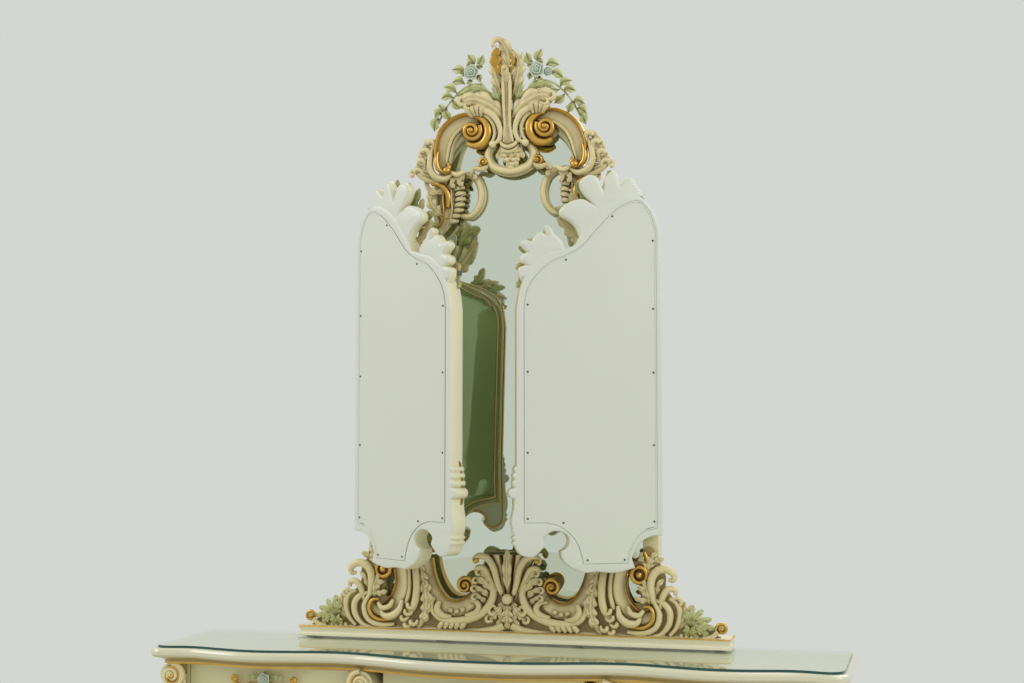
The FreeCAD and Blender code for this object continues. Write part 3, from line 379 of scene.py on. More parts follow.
    def build(self, name, place=None, finishes=FINISHES):
        """Make the mesh object. Place turns the points in centimetres into the frame's metres."""
        points = np.array(self.points)
        if place is None:
            lean = np.interp(points[:, 1], LEAN_HEIGHTS, LEAN)
            world = np.stack([
                (points[:, 0] + lean) * CM, FACE - points[:, 2] * CM, TABLE + points[:, 1] * CM,
            ], 1)
        else:
            world = place(points * CM)
        mesh = bpy.data.meshes.new(name)
        mesh.from_pydata(world.tolist(), [], self.faces)
        mesh.polygons.foreach_set("material_index", self.finishes)
        spread = mesh.attributes.new("glaze_and_shade", "FLOAT", "POINT")
        spread.data.foreach_set("value", np.array(self.glaze_and_shade, np.float32))
        for finish in finishes:
            mesh.materials.append(material(finish))
        face_outward(mesh)
        piece = new_piece(name, mesh)
        smooth_by_angle(piece, 50)
        return piece


def clear_selection():
    """Leave nothing selected."""
    bpy.ops.object.select_all(action="DESELECT")


def pick(piece):
    """Select one object alone and make it the active one."""
    clear_selection()
    piece.select_set(True)
    bpy.context.view_layer.objects.active = piece


def smooth_by_angle(piece, degrees):
    """Shade an object smooth apart from edges sharper than that."""
    pick(piece)
    bpy.ops.object.shade_smooth_by_angle(angle=radians(degrees))


def plate(name, outlines, low, high, place, rounding=0.0, count=6, rings=3):
    """A flat plate with its outline first and then its holes, rounded over its edges.

    Outlines are lists of runs in metres, and place turns (across, up, out) into the frame.
    """
    curve = bpy.data.curves.new(name, "CURVE")
    curve.dimensions = "2D"
    curve.fill_mode = "BOTH"
    curve.extrude = (high - low) / 2 - rounding
    curve.bevel_depth = rounding
    curve.bevel_resolution = rings
    curve.offset = -rounding
    for runs in outlines:
        line = runs_path(runs, count)
        spline = curve.splines.new("POLY")
        spline.points.add(len(line) - 1)
        for point, spot in zip(spline.points, line):
            point.co = (spot[0], spot[1], 0, 1)
        spline.use_cyclic_u = True
    pick(new_piece(name, curve))
    bpy.ops.object.convert(target="MESH")
    piece = bpy.context.view_layer.objects.active
    mesh = piece.data
    co = np.zeros(len(mesh.vertices) * 3)
    mesh.vertices.foreach_get("co", co)
    co = co.reshape(-1, 3)
    co[:, 2] += (low + high) / 2
    mesh.vertices.foreach_set("co", place(co).reshape(-1))
    face_outward(mesh, 1e-6)
    smooth_by_angle(piece, 35)
    return piece


def shares(runs, width, height):
    """An outline that is drawn in shares, at that width and height."""
    return [[(x * width, z * height) for x, z in run] for run in runs]


def whole(runs):
    """The other half of an outline that is drawn on the right: up the right, then down the left."""
    back = [[(-x, z) for x, z in reversed(run)] for run in reversed(runs)]
    foot = [(back[-1][-1]), (runs[0][0])]
    return [*runs, *back, foot]


def on_mirror(points):
    """Metres across, up from the glass top and out from the mirror's face, in the frame."""
    return np.stack([points[:, 0], FACE - points[:, 2], TABLE + points[:, 1]], 1)


def on_plane(depth):
    """Metres across and up in the frame, and out to the front from that depth."""
    return lambda p: np.stack([p[:, 0], depth - p[:, 2], p[:, 1]], 1)


def on_wing(side):
    """Metres in from the hinge line, up from the wing's foot and back from its mirror side, in the frame."""
    way = -1 if side == "left" else 1
    angle = WING_ANGLES[side]

    def place(points):
        x = way * -points[:, 0]
        y = -points[:, 2]
        c, s = cos(angle), sin(angle)
        return np.stack([
            way * HINGE_OUT + c * x - s * y, FACE + s * x + c * y, WING_FOOT + points[:, 1],
        ], 1)
    return place


def paint(piece, *finishes):
    """Give an object those finishes and no other."""
    piece.data.materials.clear()
    for finish in finishes:
        piece.data.materials.append(material(finish))


def carve(shape, name, body, place=None, *replaced):
    """Build a carving and say what it rides on and stands for."""
    dress(shape.build(name, place), body, "carved_gilt", *replaced)


def dress(piece, body, slot, *replaced):
    """Say what a finished piece rides on and what it stands for. Its slot, the finish of the record, is not
    used.
    """
    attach(piece, body)
    if replaced:
        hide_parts(*replaced)
    return piece


# Finishes

def new_group(name, inputs, outputs):
    """A node group with those sockets, and its input and output nodes."""
    group = bpy.data.node_groups.new(name, "ShaderNodeTree")
    for label, kind, default in inputs:
        socket = group.interface.new_socket(label, in_out="INPUT", socket_type=kind)
        socket.default_value = default
    for label, kind in outputs:
        group.interface.new_socket(label, in_out="OUTPUT", socket_type=kind)
    return group, group.nodes.new("NodeGroupInput"), group.nodes.new("NodeGroupOutput")


def fill(tree, node, values):
    """Give a node its inputs: an output of another node is linked, and anything else is set."""
    for label, value in values.items():
        if isinstance(value, bpy.types.NodeSocket):
            tree.links.new(value, node.inputs[label])
        else:
            node.inputs[label].default_value = value
    return node


def add(tree, kind, values=None):
    """A new shader node with those inputs."""
    return fill(tree, tree.nodes.new("ShaderNode" + kind), values or {})


def maths(tree, operation, *values):
    """The outcome of a sum on values or other nodes' outputs."""
    node = add(tree, "Math", dict(enumerate(values)))
    node.operation = operation
    return node.outputs[0]


def mixed(tree, share, first, second):
    """The second colour at that share over the first."""
    node = add(tree, "Mix")
    node.data_type = "RGBA"
    fill(tree, node, {0: share, 6: first, 7: second})
    return node.outputs[2]


def mix_surface(tree, share, first, second, end="Material Output"):
    """Show the second shader at that share over the first."""
    choose = add(tree, "MixShader", {"Fac": share, 1: first, 2: second})
    tree.links.new(choose.outputs[0], tree.nodes[end].inputs["Surface"])


def glaze_and_shade_group():
    """Brown glaze, brushed on and wiped off so that it stays in the hollows, with painted shade: darkest
    where ambient occlusion finds the surface closed in and at the points' hollow depth.
    """
    group, start, end = new_group(
        "glaze_and_painted_shade",
        [("Base", "NodeSocketColor", (1, 1, 1, 1)), ("Glaze", "NodeSocketColor", (0, 0, 0, 1)),
         ("Strength", "NodeSocketFloat", 1.0)],
        [("Color", "NodeSocketColor")],
    )
    depth = add(group, "Attribute")
    depth.attribute_name = "glaze_and_shade"
    # Ambient occlusion marks the creases and recesses where shade falls, so the glaze colour there is partly
    # painted shade
    hollow = add(group, "AmbientOcclusion", {"Distance": 0.012})
    hollow.samples = 6
    hollow.only_local = True
    occlusion_shade = maths(group, "SUBTRACT", 1.0, hollow.outputs["AO"])
    place = add(group, "TexCoord").outputs["Object"]
    cloud = add(group, "TexNoise", {"Vector": place, "Scale": 60, "Detail": 4})
    drift = maths(group, "MULTIPLY_ADD", cloud.outputs["Fac"], 0.8, 0.6)
    both = maths(group, "MULTIPLY_ADD", occlusion_shade, 0.9, maths(group, "MULTIPLY", depth.outputs["Fac"], 0.42))
    spread = maths(group, "MULTIPLY", maths(group, "MULTIPLY", both, drift), start.outputs["Strength"])
    glaze_and_shade_mask = add(group, "Clamp", {"Value": spread})
    fill(group, end, {
        "Color": mixed(group, glaze_and_shade_mask.outputs[0], start.outputs["Base"], start.outputs["Glaze"]),
    })
    return group


def coat_group():
    """Slow drifts of tone and fine ripples, as on a hand-brushed coat."""
    group, start, end = new_group(
        "brushed_coat",
        [("Base", "NodeSocketColor", (1, 1, 1, 1)), ("Shade", "NodeSocketColor", (0, 0, 0, 1)),
         ("Scale", "NodeSocketFloat", 6.0), ("Amount", "NodeSocketFloat", 0.5),
         ("Ripple", "NodeSocketFloat", 0.1)],
        [("Color", "NodeSocketColor"), ("Normal", "NodeSocketVector")],
    )
    place = add(group, "TexCoord").outputs["Object"]
    cloud = add(group, "TexNoise", {"Vector": place, "Scale": start.outputs["Scale"], "Detail": 5})
    share = maths(group, "MULTIPLY", cloud.outputs["Fac"], start.outputs["Amount"])
    fine = add(group, "TexNoise", {"Vector": place, "Scale": 220, "Detail": 3})
    bump = add(group, "Bump", {
        "Strength": start.outputs["Ripple"], "Distance": 0.0006, "Height": fine.outputs["Fac"],
    })
    fill(group, end, {
        "Color": mixed(group, share, start.outputs["Base"], start.outputs["Shade"]),
        "Normal": bump.outputs[0],
    })
    return group


def place_group(tree, name, make, values):
    """A node that holds the group of that name, made the first time that it is needed."""
    node = tree.nodes.new("ShaderNodeGroup")
    node.node_tree = bpy.data.node_groups.get(name) or make()
    return fill(tree, node, values)


def brushed(tree, shader, base, shade, roughness, glaze_and_shade=None, strength=0.0, scale=6.0, amount=0.55,
            ripple=0.0,
            metallic=0.0, coat=0.0, coat_roughness=0.18):
    """A hand-brushed finish: a base that drifts to its shade, glaze and painted shade in the hollows, ripples
    and a clear coat.

    The base is a colour, or the name of one in the add-on's settings. Gives back the colour without glaze.
    """
    sizes = bpy.context.scene.dressing_table
    coated = place_group(tree, "brushed_coat", coat_group, {
        "Base": getattr(sizes, base) if isinstance(base, str) else colour(*base), "Shade": colour(*shade),
        "Scale": scale, "Amount": amount, "Ripple": ripple,
    })
    tone = coated.outputs["Color"]
    if glaze_and_shade:
        tone = place_group(tree, "glaze_and_painted_shade", glaze_and_shade_group, {
            "Base": tone, "Glaze": colour(*glaze_and_shade), "Strength": strength * sizes.glaze_and_shade_strength,
        }).outputs["Color"]
    fill(tree, shader, {
        "Base Color": tone, "Roughness": roughness, "Metallic": metallic, "Coat Weight": coat,
        "Coat Roughness": coat_roughness,
    })
    if ripple:
        fill(tree, shader, {"Normal": coated.outputs["Normal"]})
    return coated.outputs["Color"]


# Each brushed finish: base, shade, roughness, and what else it has; a glaze darkens its hollows partly as
# painted shade
LACQUER = {"ripple": 0.12, "coat": 0.3}
BRUSHED = {
    "ivory_lacquer": ("ivory", (218, 212, 165), 0.34, {"glaze_and_shade": (140, 112, 58), "strength": 0.6, **LACQUER}),
    "carved_ivory": ("carved", (226, 211, 150), 0.42, {"glaze_and_shade": (124, 96, 40), "strength": 1.4, **LACQUER}),
    # A dark olive-brown tone for the ground plate: painted shade for the gaps between the base's carved
    # pieces
    "ground_painted_shade": ((172, 154, 104), (140, 118, 70), 0.5, {"glaze_and_shade": (70, 52, 24), "strength": 1.3,
                                                             **LACQUER}),
    "white_lacquer": ("white", (220, 224, 213), 0.34, {"glaze_and_shade": (156, 150, 118), "strength": 0.4, **LACQUER}),
    "warm_lacquer": ("warm", (234, 230, 198), 0.36, {"glaze_and_shade": (158, 142, 96), "strength": 0.45, **LACQUER}),
    "leaf_green": ("green", (174, 182, 108), 0.45, {"glaze_and_shade": (106, 94, 40), "strength": 1.4, **LACQUER}),
    "rose_blue": ("rose", (196, 214, 200), 0.4, {"glaze_and_shade": (112, 138, 122), "strength": 0.6, **LACQUER}),
    "antique_gilt": ("gilt", (196, 146, 62), 0.33, {
        "glaze_and_shade": (96, 68, 26), "strength": 0.8, "scale": 30.0, "amount": 0.9, "ripple": 0.35,
        "metallic": 0.85,
    }),
    "hinge_brass": ((206, 172, 98), (150, 118, 60), 0.28, {"scale": 40.0, "amount": 0.8, "metallic": 1.0}),
    "nail_steel": ((72, 70, 66), (40, 36, 32), 0.5, {"scale": 300.0, "amount": 0.8, "metallic": 0.8}),
    "felt_grey": ((96, 104, 92), (60, 66, 58), 0.95, {"scale": 400.0, "amount": 0.8, "ripple": 0.6}),
    "pale_floor": ((214, 216, 210), (206, 208, 202), 0.7, {"scale": 1.5, "amount": 0.5}),
}


def make_top(tree, shader):
    """Ivory that is white where light falls on the rounded edge, and painted tan as shade in the ogee under
    it.
    """
    white = brushed(
        tree, shader, (228, 226, 202), (220, 216, 186), 0.22, ripple=0.05, coat=0.6, coat_roughness=0.08,
    )
    axes = add(tree, "SeparateXYZ", {0: add(tree, "TexCoord").outputs["Object"]})
    # Below a set height the ogee is painted tan, as shade cast by the rounded edge above it
    under = add(tree, "MapRange", {"Value": axes.outputs["Z"], "From Min": 0.780, "From Max": 0.768})
    fill(tree, shader, {"Base Color": mixed(tree, under.outputs["Result"], white, colour(168, 148, 92))})


def make_mirror(tree, shader):
    """Silvered glass."""
    fill(tree, shader, {"Base Color": colour(226, 234, 222), "Metallic": 1.0, "Roughness": 0.02})


def make_wing_mirror(tree, shader):
    """Mirror glass which, where it is seen in another mirror, shows a lit pale green as a painted reflection
    of the glass's green.
    """
    fill(tree, shader, {"Base Color": colour(206, 222, 204), "Metallic": 0.95, "Roughness": 0.03})
    # Past the first glossy bounce a diffuse pale green is mixed in: a painted reflection in place of the
    # mirror's own
    mirrored = maths(tree, "GREATER_THAN", add(tree, "LightPath").outputs["Glossy Depth"], 0.5)
    green = add(tree, "BsdfDiffuse", {"Color": colour(232, 246, 190)})
    mix_surface(tree, maths(tree, "MULTIPLY", mirrored, 0.7), shader.outputs[0], green.outputs[0])


def see_through(tree, shader, share):
    """Let light straight through the surface, apart from a share of the shader's own."""
    passing = add(tree, "BsdfTransparent", {"Color": (0.975, 0.985, 0.975, 1)})
    mix_surface(tree, share, passing.outputs[0], shader.outputs[0])


def outer_side(tree):
    """1 on the outer side of a surface, and 0 where it is seen from within."""
    return maths(tree, "SUBTRACT", 1.0, add(tree, "NewGeometry").outputs["Backfacing"])


def make_clear_glass(tree, shader):
    """A thin clear sheet: it mirrors by Fresnel on its outer side and lets the rest through."""
    fill(tree, shader, {"Base Color": colour(238, 246, 240), "Metallic": 1.0, "Roughness": 0.02})
    bounce = add(tree, "Fresnel", {"IOR": 1.7})
    see_through(tree, shader, maths(tree, "MULTIPLY", bounce.outputs[0], outer_side(tree)))


def make_glass_edge(tree, shader):
    """The dark green of the sheet's edge, clear where it is seen from inside the sheet."""
    brushed(tree, shader, (44, 92, 88), (26, 62, 62), 0.15, scale=20.0, amount=0.9)
    see_through(tree, shader, outer_side(tree))


def make_wood(tree, shader):
    """Bare wood with its grain upright."""
    stretch = add(tree, "Mapping", {"Vector": add(tree, "TexCoord").outputs["Object"],
                                    "Scale": (30, 30, 1.4)})
    grain = add(tree, "TexNoise", {
        "Vector": stretch.outputs[0], "Scale": 2.2, "Detail": 9, "Roughness": 0.62, "Distortion": 1.1,
    })
    ramp = add(tree, "ValToRGB", {"Fac": grain.outputs["Fac"]})
    for stop, spot, tone in zip(ramp.color_ramp.elements, (0.3, 0.7), ((160, 124, 82), (202, 170, 122))):
        stop.position = spot
        stop.color = colour(*tone)
    bump = add(tree, "Bump", {"Strength": 0.25, "Distance": 0.0008, "Height": grain.outputs["Fac"]})
    fill(tree, shader, {"Base Color": ramp.outputs["Color"], "Normal": bump.outputs[0], "Roughness": 0.6})


MAKERS = {
    "top_lacquer": make_top,
    "mirror_silver": make_mirror,
    "wing_mirror": make_wing_mirror,
    "clear_glass": make_clear_glass,
    "glass_edge": make_glass_edge,
    "bare_wood": make_wood,
}


def material(name):
    """The finish of that name, made the first time that a piece asks for it."""
    made = bpy.data.materials.get(FINISH_MARK + name)
    if made is None:
        made = bpy.data.materials.new(FINISH_MARK + name)
        made.use_nodes = True
        tree = made.node_tree
        shader = tree.nodes["Principled BSDF"]
        if name in BRUSHED:
            base, shade, roughness, more = BRUSHED[name]
            brushed(tree, shader, base, shade, roughness, **more)
        else:
            MAKERS[name](tree, shader)
    return made


# Sections of the scrolls: across, rise, finish and depth of glaze and painted shade

SCROLL = [
    (1.0, 0.0, GILT, 0.3), (1.0, 0.6, GILT, 0.0), (0.94, 0.92, GILT, 0.0), (0.8, 1.05, GILT, 0.0),
    (0.66, 0.92, GILT, 0.0), (0.58, 0.58, IVORY, 1.0), (0.4, 0.5, IVORY, 0.4), (0.1, 0.46, IVORY, 0.15),
    (-0.2, 0.52, IVORY, 0.1), (-0.42, 0.62, IVORY, 0.7), (-0.5, 0.82, IVORY, 0.1), (-0.62, 0.92, IVORY, 0.0),
    (-0.74, 0.82, IVORY, 0.1), (-0.8, 0.62, IVORY, 0.7), (-0.86, 0.68, IVORY, 0.1), (-0.95, 0.5, IVORY, 0.2),
    (-1.0, 0.0, IVORY, 0.6),
]
BAND = [
    (1.0, 0.0, IVORY, 0.5), (1.0, 0.45, IVORY, 0.2), (0.85, 0.7, IVORY, 0.1), (0.62, 0.74, IVORY, 0.7),
    (0.5, 0.9, IVORY, 0.1), (0.15, 1.0, IVORY, 0.0), (-0.25, 1.0, IVORY, 0.0), (-0.6, 0.86, IVORY, 0.1),
    (-0.72, 0.66, IVORY, 0.7), (-0.9, 0.55, IVORY, 0.2), (-1.0, 0.3, IVORY, 0.2), (-1.0, 0.0, IVORY, 0.6),
]

CRADLE = [
    (1.0, 0.0, GILT, 0.5), (1.0, 0.6, GILT, 0.1), (0.95, 0.9, GILT, 0.0), (0.87, 0.98, GILT, 0.0),
    (0.79, 0.85, GILT, 0.1), (0.74, 0.55, IVORY, 0.9), (0.5, 0.46, IVORY, 0.35), (0.2, 0.5, IVORY, 0.15),
    (-0.15, 0.6, IVORY, 0.05), (-0.45, 0.7, IVORY, 0.0), (-0.7, 0.66, IVORY, 0.1), (-0.9, 0.45, IVORY, 0.4),
    (-1.0, 0.0, IVORY, 0.8),
]
CUP_HALF = [
    (1.0, 0.0, IVORY, 0.8), (1.0, 0.4, IVORY, 0.2), (0.9, 0.66, IVORY, 0.0), (0.78, 0.66, IVORY, 0.1),
    (0.68, 0.36, IVORY, 1.2), (0.58, 0.72, IVORY, 0.1), (0.46, 0.84, IVORY, 0.0), (0.34, 0.78, IVORY, 0.1),
    (0.24, 0.34, IVORY, 1.4), (0.15, 0.86, IVORY, 0.1), (0.0, 1.0, IVORY, 0.0),
]
CUP = CUP_HALF + [(-u, v, c, g) for u, v, c, g in reversed(CUP_HALF[:-1])]
BEAD = [
    (1.0, 0.0, GILT, 0.5), (0.92, 0.6, GILT, 0.0), (0.5, 1.0, GILT, 0.0), (-0.5, 1.0, GILT, 0.0),
    (-0.92, 0.6, GILT, 0.0), (-1.0, 0.0, GILT, 0.5),
]
IVORY_BEAD = [(u, v, IVORY, g) for u, v, _, g in BEAD]
MOULDING = [
    (1.0, 0.0, GILT, 0.6), (0.96, 0.5, GILT, 0.0), (0.8, 0.7, GILT, 0.1), (0.7, 0.45, IVORY, 0.8),
    (0.4, 0.5, IVORY, 0.2), (0.1, 0.8, IVORY, 0.0), (-0.2, 1.0, IVORY, 0.0), (-0.5, 0.95, IVORY, 0.1),
    (-0.65, 0.5, IVORY, 0.8), (-0.8, 0.55, GILT, 0.1), (-0.95, 0.35, GILT, 0.1), (-1.0, 0.0, GILT, 0.6),
]

# Outlines, as shares of half the mirror's width and of its height, and of a wing's

FRAME = [
    [(1, 0.016), (1, 0.558)],
    [
        (1, 0.558), (0.951, 0.586), (0.842, 0.609), (0.712, 0.625), (0.603, 0.642), (0.554, 0.666),
        (0.543, 0.699), (0.56, 0.733), (0.533, 0.767), (0.462, 0.807), (0.353, 0.849),
        (0.217, 0.874), (0, 0.886),
    ],
]
SIGHT = [
    [(0.897, 0.062), (0.897, 0.55)],
    [
        (0.897, 0.55), (0.859, 0.568), (0.774, 0.588), (0.662, 0.606), (0.556, 0.626),
        (0.505, 0.655), (0.5, 0.69), (0.522, 0.731), (0.51, 0.762), (0.452, 0.798),
        (0.352, 0.834), (0.2, 0.856), (0, 0.86),
    ],
]
PANE = [
    [(0.94, 0.051), (0.94, 0.553)],
    [
        (0.94, 0.553), (0.899, 0.574), (0.81, 0.597), (0.685, 0.615), (0.58, 0.634),
        (0.528, 0.66), (0.52, 0.695), (0.54, 0.732), (0.52, 0.765), (0.458, 0.802),
        (0.356, 0.841), (0.21, 0.864), (0, 0.871),
    ],
]
WING = [
    [(0.015, 0.096), (0.015, 0.897)],
    [
        (0.015, 0.897), (0.057, 0.948), (0.128, 0.983), (0.205, 1), (0.312, 0.99),
        (0.426, 0.959), (0.54, 0.903), (0.608, 0.859),
    ],
    [(0.608, 0.859), (0.682, 0.85), (0.81, 0.835), (0.909, 0.802), (0.972, 0.747), (1, 0.691)],
    [(1, 0.691), (1, 0.278)],
    [(1, 0.278), (1.012, 0.275), (1.018, 0.269), (1.01, 0.262)],
    [(1.01, 0.262), (1.024, 0.256), (1.024, 0.249), (1.012, 0.243)],
    [(1.012, 0.243), (1.028, 0.237), (1.028, 0.229), (1.016, 0.222)],
    [(1.016, 0.222), (1.038, 0.219), (1.054, 0.212), (1.052, 0.202), (1.034, 0.195), (1.016, 0.193)],
    [(1.016, 0.193), (1.02, 0.165), (1.034, 0.14), (1.032, 0.118), (1.016, 0.098)],
    [(1.016, 0.098), (1.03, 0.092), (1.016, 0.085)],
    [(1.016, 0.085), (1.028, 0.078), (1.01, 0.07)],
    [(1.01, 0.07), (0.98, 0.05), (0.92, 0.042), (0.88, 0.045), (0.844, 0.057)],
    [
        (0.844, 0.057), (0.812, 0.073), (0.824, 0.09), (0.778, 0.106), (0.724, 0.109),
        (0.67, 0.1), (0.651, 0.084), (0.668, 0.066), (0.707, 0.056),
    ],
    [(0.707, 0.056), (0.69, 0.032), (0.631, 0.013), (0.554, 0)],
    [(0.554, 0), (0.455, 0.003), (0.341, 0), (0.205, 0.012)],
    [(0.205, 0.012), (0.219, 0.027), (0.227, 0.039)],
    [(0.227, 0.039), (0.188, 0.07), (0.108, 0.092), (0.015, 0.096)],
]
# The gold line on a wing's mirror side runs straight past the curls of its free edge
WING_LINE = [
    *WING[:3],
    [(1, 0.691), (1, 0.1)],
    [(1, 0.1), (0.985, 0.07), (0.94, 0.056), (0.89, 0.052), (0.844, 0.057)],
    *WING[12:],
]
WING_BOARD = [
    [(0.057, 0.117), (0.057, 0.903)],
    [
        (0.057, 0.903), (0.094, 0.946), (0.142, 0.973), (0.199, 0.979), (0.304, 0.96),
        (0.426, 0.915), (0.528, 0.868), (0.588, 0.847),
    ],
    [(0.588, 0.847), (0.676, 0.829), (0.781, 0.81), (0.881, 0.771), (0.932, 0.733), (0.949, 0.691)],
    [(0.949, 0.691), (0.949, 0.133)],
    [(0.949, 0.133), (0.798, 0.133)],
    [(0.798, 0.133), (0.71, 0.123), (0.622, 0.095), (0.574, 0.06), (0.551, 0.025)],
    [(0.551, 0.025), (0.259, 0.027)],
    [(0.259, 0.027), (0.239, 0.061), (0.17, 0.103), (0.057, 0.117)],
]
WING_SIGHT = [
    [(0.102, 0.133), (0.102, 0.892)],
    [
        (0.102, 0.892), (0.142, 0.939), (0.205, 0.954), (0.298, 0.936), (0.426, 0.888),
        (0.526, 0.845), (0.597, 0.823),
    ],
    [(0.597, 0.823), (0.682, 0.806), (0.781, 0.786), (0.861, 0.75), (0.895, 0.719), (0.903, 0.685)],
    [(0.903, 0.685), (0.903, 0.153)],
    [(0.903, 0.153), (0.787, 0.151)],
    [(0.787, 0.151), (0.682, 0.14), (0.582, 0.105), (0.534, 0.071), (0.517, 0.046)],
    [(0.517, 0.046), (0.293, 0.046)],
    [(0.293, 0.046), (0.273, 0.077), (0.205, 0.114), (0.102, 0.133)],
]
WING_LEAF = [
    [
        (0.56, 0.86), (0.575, 0.885), (0.6, 0.908), (0.645, 0.925), (0.7, 0.937), (0.706, 0.955),
        (0.655, 0.972), (0.606, 0.981), (0.547, 0.984), (0.492, 0.974),
    ],
    [
        (0.492, 0.974), (0.532, 0.993), (0.565, 1.014), (0.566, 1.034), (0.516, 1.048), (0.471, 1.048),
        (0.434, 1.035), (0.41, 1.014),
    ],
    [(0.41, 1.014), (0.385, 1.046), (0.34, 1.062), (0.31, 1.049), (0.29, 1.026)],
    [(0.29, 1.026), (0.245, 1.043), (0.205, 1.041), (0.165, 1.018), (0.119, 0.992)],
    [(0.119, 0.992), (0.2, 0.975), (0.3, 0.965), (0.426, 0.93), (0.54, 0.87), (0.56, 0.86)],
]
WING_LOWER_LEAF = [
    [(0.667, 0.846), (0.685, 0.868), (0.712, 0.882), (0.738, 0.89), (0.756, 0.904)],
    [(0.756, 0.904), (0.792, 0.914), (0.808, 0.906), (0.8, 0.888)],
    [(0.8, 0.888), (0.84, 0.894), (0.875, 0.884), (0.896, 0.87)],
    [(0.896, 0.87), (0.955, 0.872), (0.972, 0.858), (0.93, 0.84)],
    [(0.93, 0.84), (0.972, 0.83), (0.975, 0.815), (0.94, 0.806)],
    [(0.94, 0.806), (0.985, 0.798), (0.985, 0.778), (0.96, 0.76)],
    [(0.96, 0.76), (0.9, 0.785), (0.81, 0.822), (0.667, 0.846)],
]


# The crest

def crest_scroll():
    """The right C scroll of the crest, its volute, ribs and outer leaves."""
    s = Shape()
    s.ribbon([(7.6, 129.0, 1.5), (10.4, 129.0, 2.1), (13.2, 128.1, 2.4), (15.6, 126.1, 2.5),
              (17.0, 123.3, 2.45), (17.6, 120.4, 2.2), (17.6, 118.0, 1.6), (16.9, 116.6, 0.8)],
             SCROLL, 2.9, count=7)
    # The broad gold band that turns under the volute, and the bar that winds in to its eye
    band = [(9.4, 130.1, 0.5), (7.2, 129.6, 0.9), (5.6, 127.8, 1.15), (5.3, 125.4, 1.2), (6.6, 123.2, 1.1),
            (8.9, 122.5, 0.9), (11.0, 123.2, 0.6)]
    s.tube([(x, z, 1.7, r) for x, z, r in band], GILT, 9, 5)
    s.ball(9.2, 126.2, 0.5, 3.3, IVORY, 20, 0.3, 0.8)
    s.volute(9.5, 126.3, 2.35, 1.7, radians(150), GILT, 0.78, 1.8, way=1, rise=1.1)
    s.tube([(16.7, 116.5, 2.1, 0.7), (15.8, 117.2, 2.3, 0.6), (16.0, 118.4, 2.0, 0.4)], GILT, 8)
    s.ball(16.4, 116.5, 2.2, 1.05, GILT)
    s.tube([(17.2, 116.0, 2.0, 0.4), (18.7, 117.2, 2.3, 0.65), (19.1, 119.4, 2.3, 0.6),
            (18.7, 121.4, 2.0, 0.35)], GILT, 8)
    # Two ribs that come down to the stem
    s.tube([(8.6, 131.2, 2.2, 0.5), (6.4, 131.2, 2.7, 0.85), (4.0, 130.0, 2.9, 0.85), (2.5, 128.0, 2.8, 0.75),
            (1.9, 125.6, 2.6, 0.68), (2.4, 123.6, 2.5, 0.6), (3.6, 122.7, 2.5, 0.4)], IVORY, 9, glaze_and_shade=0.1)
    s.tube([(7.6, 130.5, 1.9, 0.4), (5.2, 129.6, 2.4, 0.62), (3.7, 127.6, 2.4, 0.6), (3.4, 125.4, 2.3, 0.55),
            (4.0, 123.6, 2.2, 0.5), (4.9, 122.6, 2.2, 0.5)], IVORY, 9, glaze_and_shade=0.2)
    # Curled lobes over the scroll's top
    for x, z, a in ((6.4, 131.3, 105), (7.7, 131.5, 84), (8.9, 131.4, 66), (10.0, 131.0, 50)):
        s.tube([(x - 1.5 * cos(radians(a)), z - 1.7 * sin(radians(a)), 2.7, 0.4), (x, z, 3.2, 0.75),
                (x + 0.7 * cos(radians(a)), z + 0.7 * sin(radians(a)), 2.4, 0.7)], IVORY, 8, 4, glaze_and_shade=0.3)
    # Curls and the leaf that hug the scroll's outside, with the leaf's lobes and the hook below
    s.hook(20.6, 123.2, 1.7, 1.5, 250, -230, 0.8)
    s.hook(22.2, 121.2, 1.6, 1.4, 250, -220, 0.75)
    s.hook(23.4, 118.7, 1.5, 1.3, 240, -220, 0.7)
    s.hook(24.4, 116.2, 1.5, 1.4, 230, -250, 0.65)
    s.tube([(15.2, 115.6, 1.6, 0.55), (17.2, 114.5, 1.8, 0.8), (19.6, 115.2, 1.9, 0.95),
            (20.9, 117.6, 2.0, 0.9), (20.6, 120.6, 1.9, 0.8), (19.8, 122.8, 1.7, 0.6),
            (19.9, 123.9, 1.8, 0.5)], IVORY, 9, glaze_and_shade=0.15)
    s.leaf([(20.2, 119.2, 1.4), (21.6, 121.0, 1.9), (21.8, 123.0, 2.0), (20.8, 124.4, 1.8)],
           1.5, 3, thick=0.7)
    s.leaf([(20.4, 116.8, 1.4), (22.3, 118.2, 1.9), (23.2, 120.2, 1.9), (22.9, 121.8, 1.6)],
           1.5, 3, thick=0.7)
    s.leaf([(19.8, 115.4, 1.2), (22.4, 115.8, 1.8), (23.9, 117.4, 1.8), (24.2, 119.0, 1.6)],
           1.4, 3, thick=0.7)
    s.tube([(18.4, 114.2, 1.0, 0.8), (21.4, 114.4, 1.2, 0.8), (23.8, 115.8, 1.4, 0.65),
            (25.0, 117.0, 1.7, 0.5), (25.9, 116.6, 1.9, 0.55), (25.8, 115.7, 1.9, 0.5)], IVORY, 8, glaze_and_shade=0.2)
    s.ball(25.7, 115.8, 1.9, 0.7, IVORY)
    # The cup between the scroll and the loop
    s.ball(13.6, 115.1, 1.0, 1.6, IVORY, 12, 0.7, 0.4)
    s.tube([(11.9, 116.2, 1.8, 0.5), (13.6, 115.3, 2.3, 0.62), (15.3, 116.0, 1.8, 0.5)], IVORY, 8)
    s.leaf([(12.6, 115.8, 1.4), (13.4, 113.9, 2.0), (12.4, 112.6, 1.8)], 0.8, 2)
    s.leaf([(14.2, 115.4, 1.4), (15.2, 113.6, 2.0), (14.6, 112.2, 1.8)], 0.8, 2)
    return s


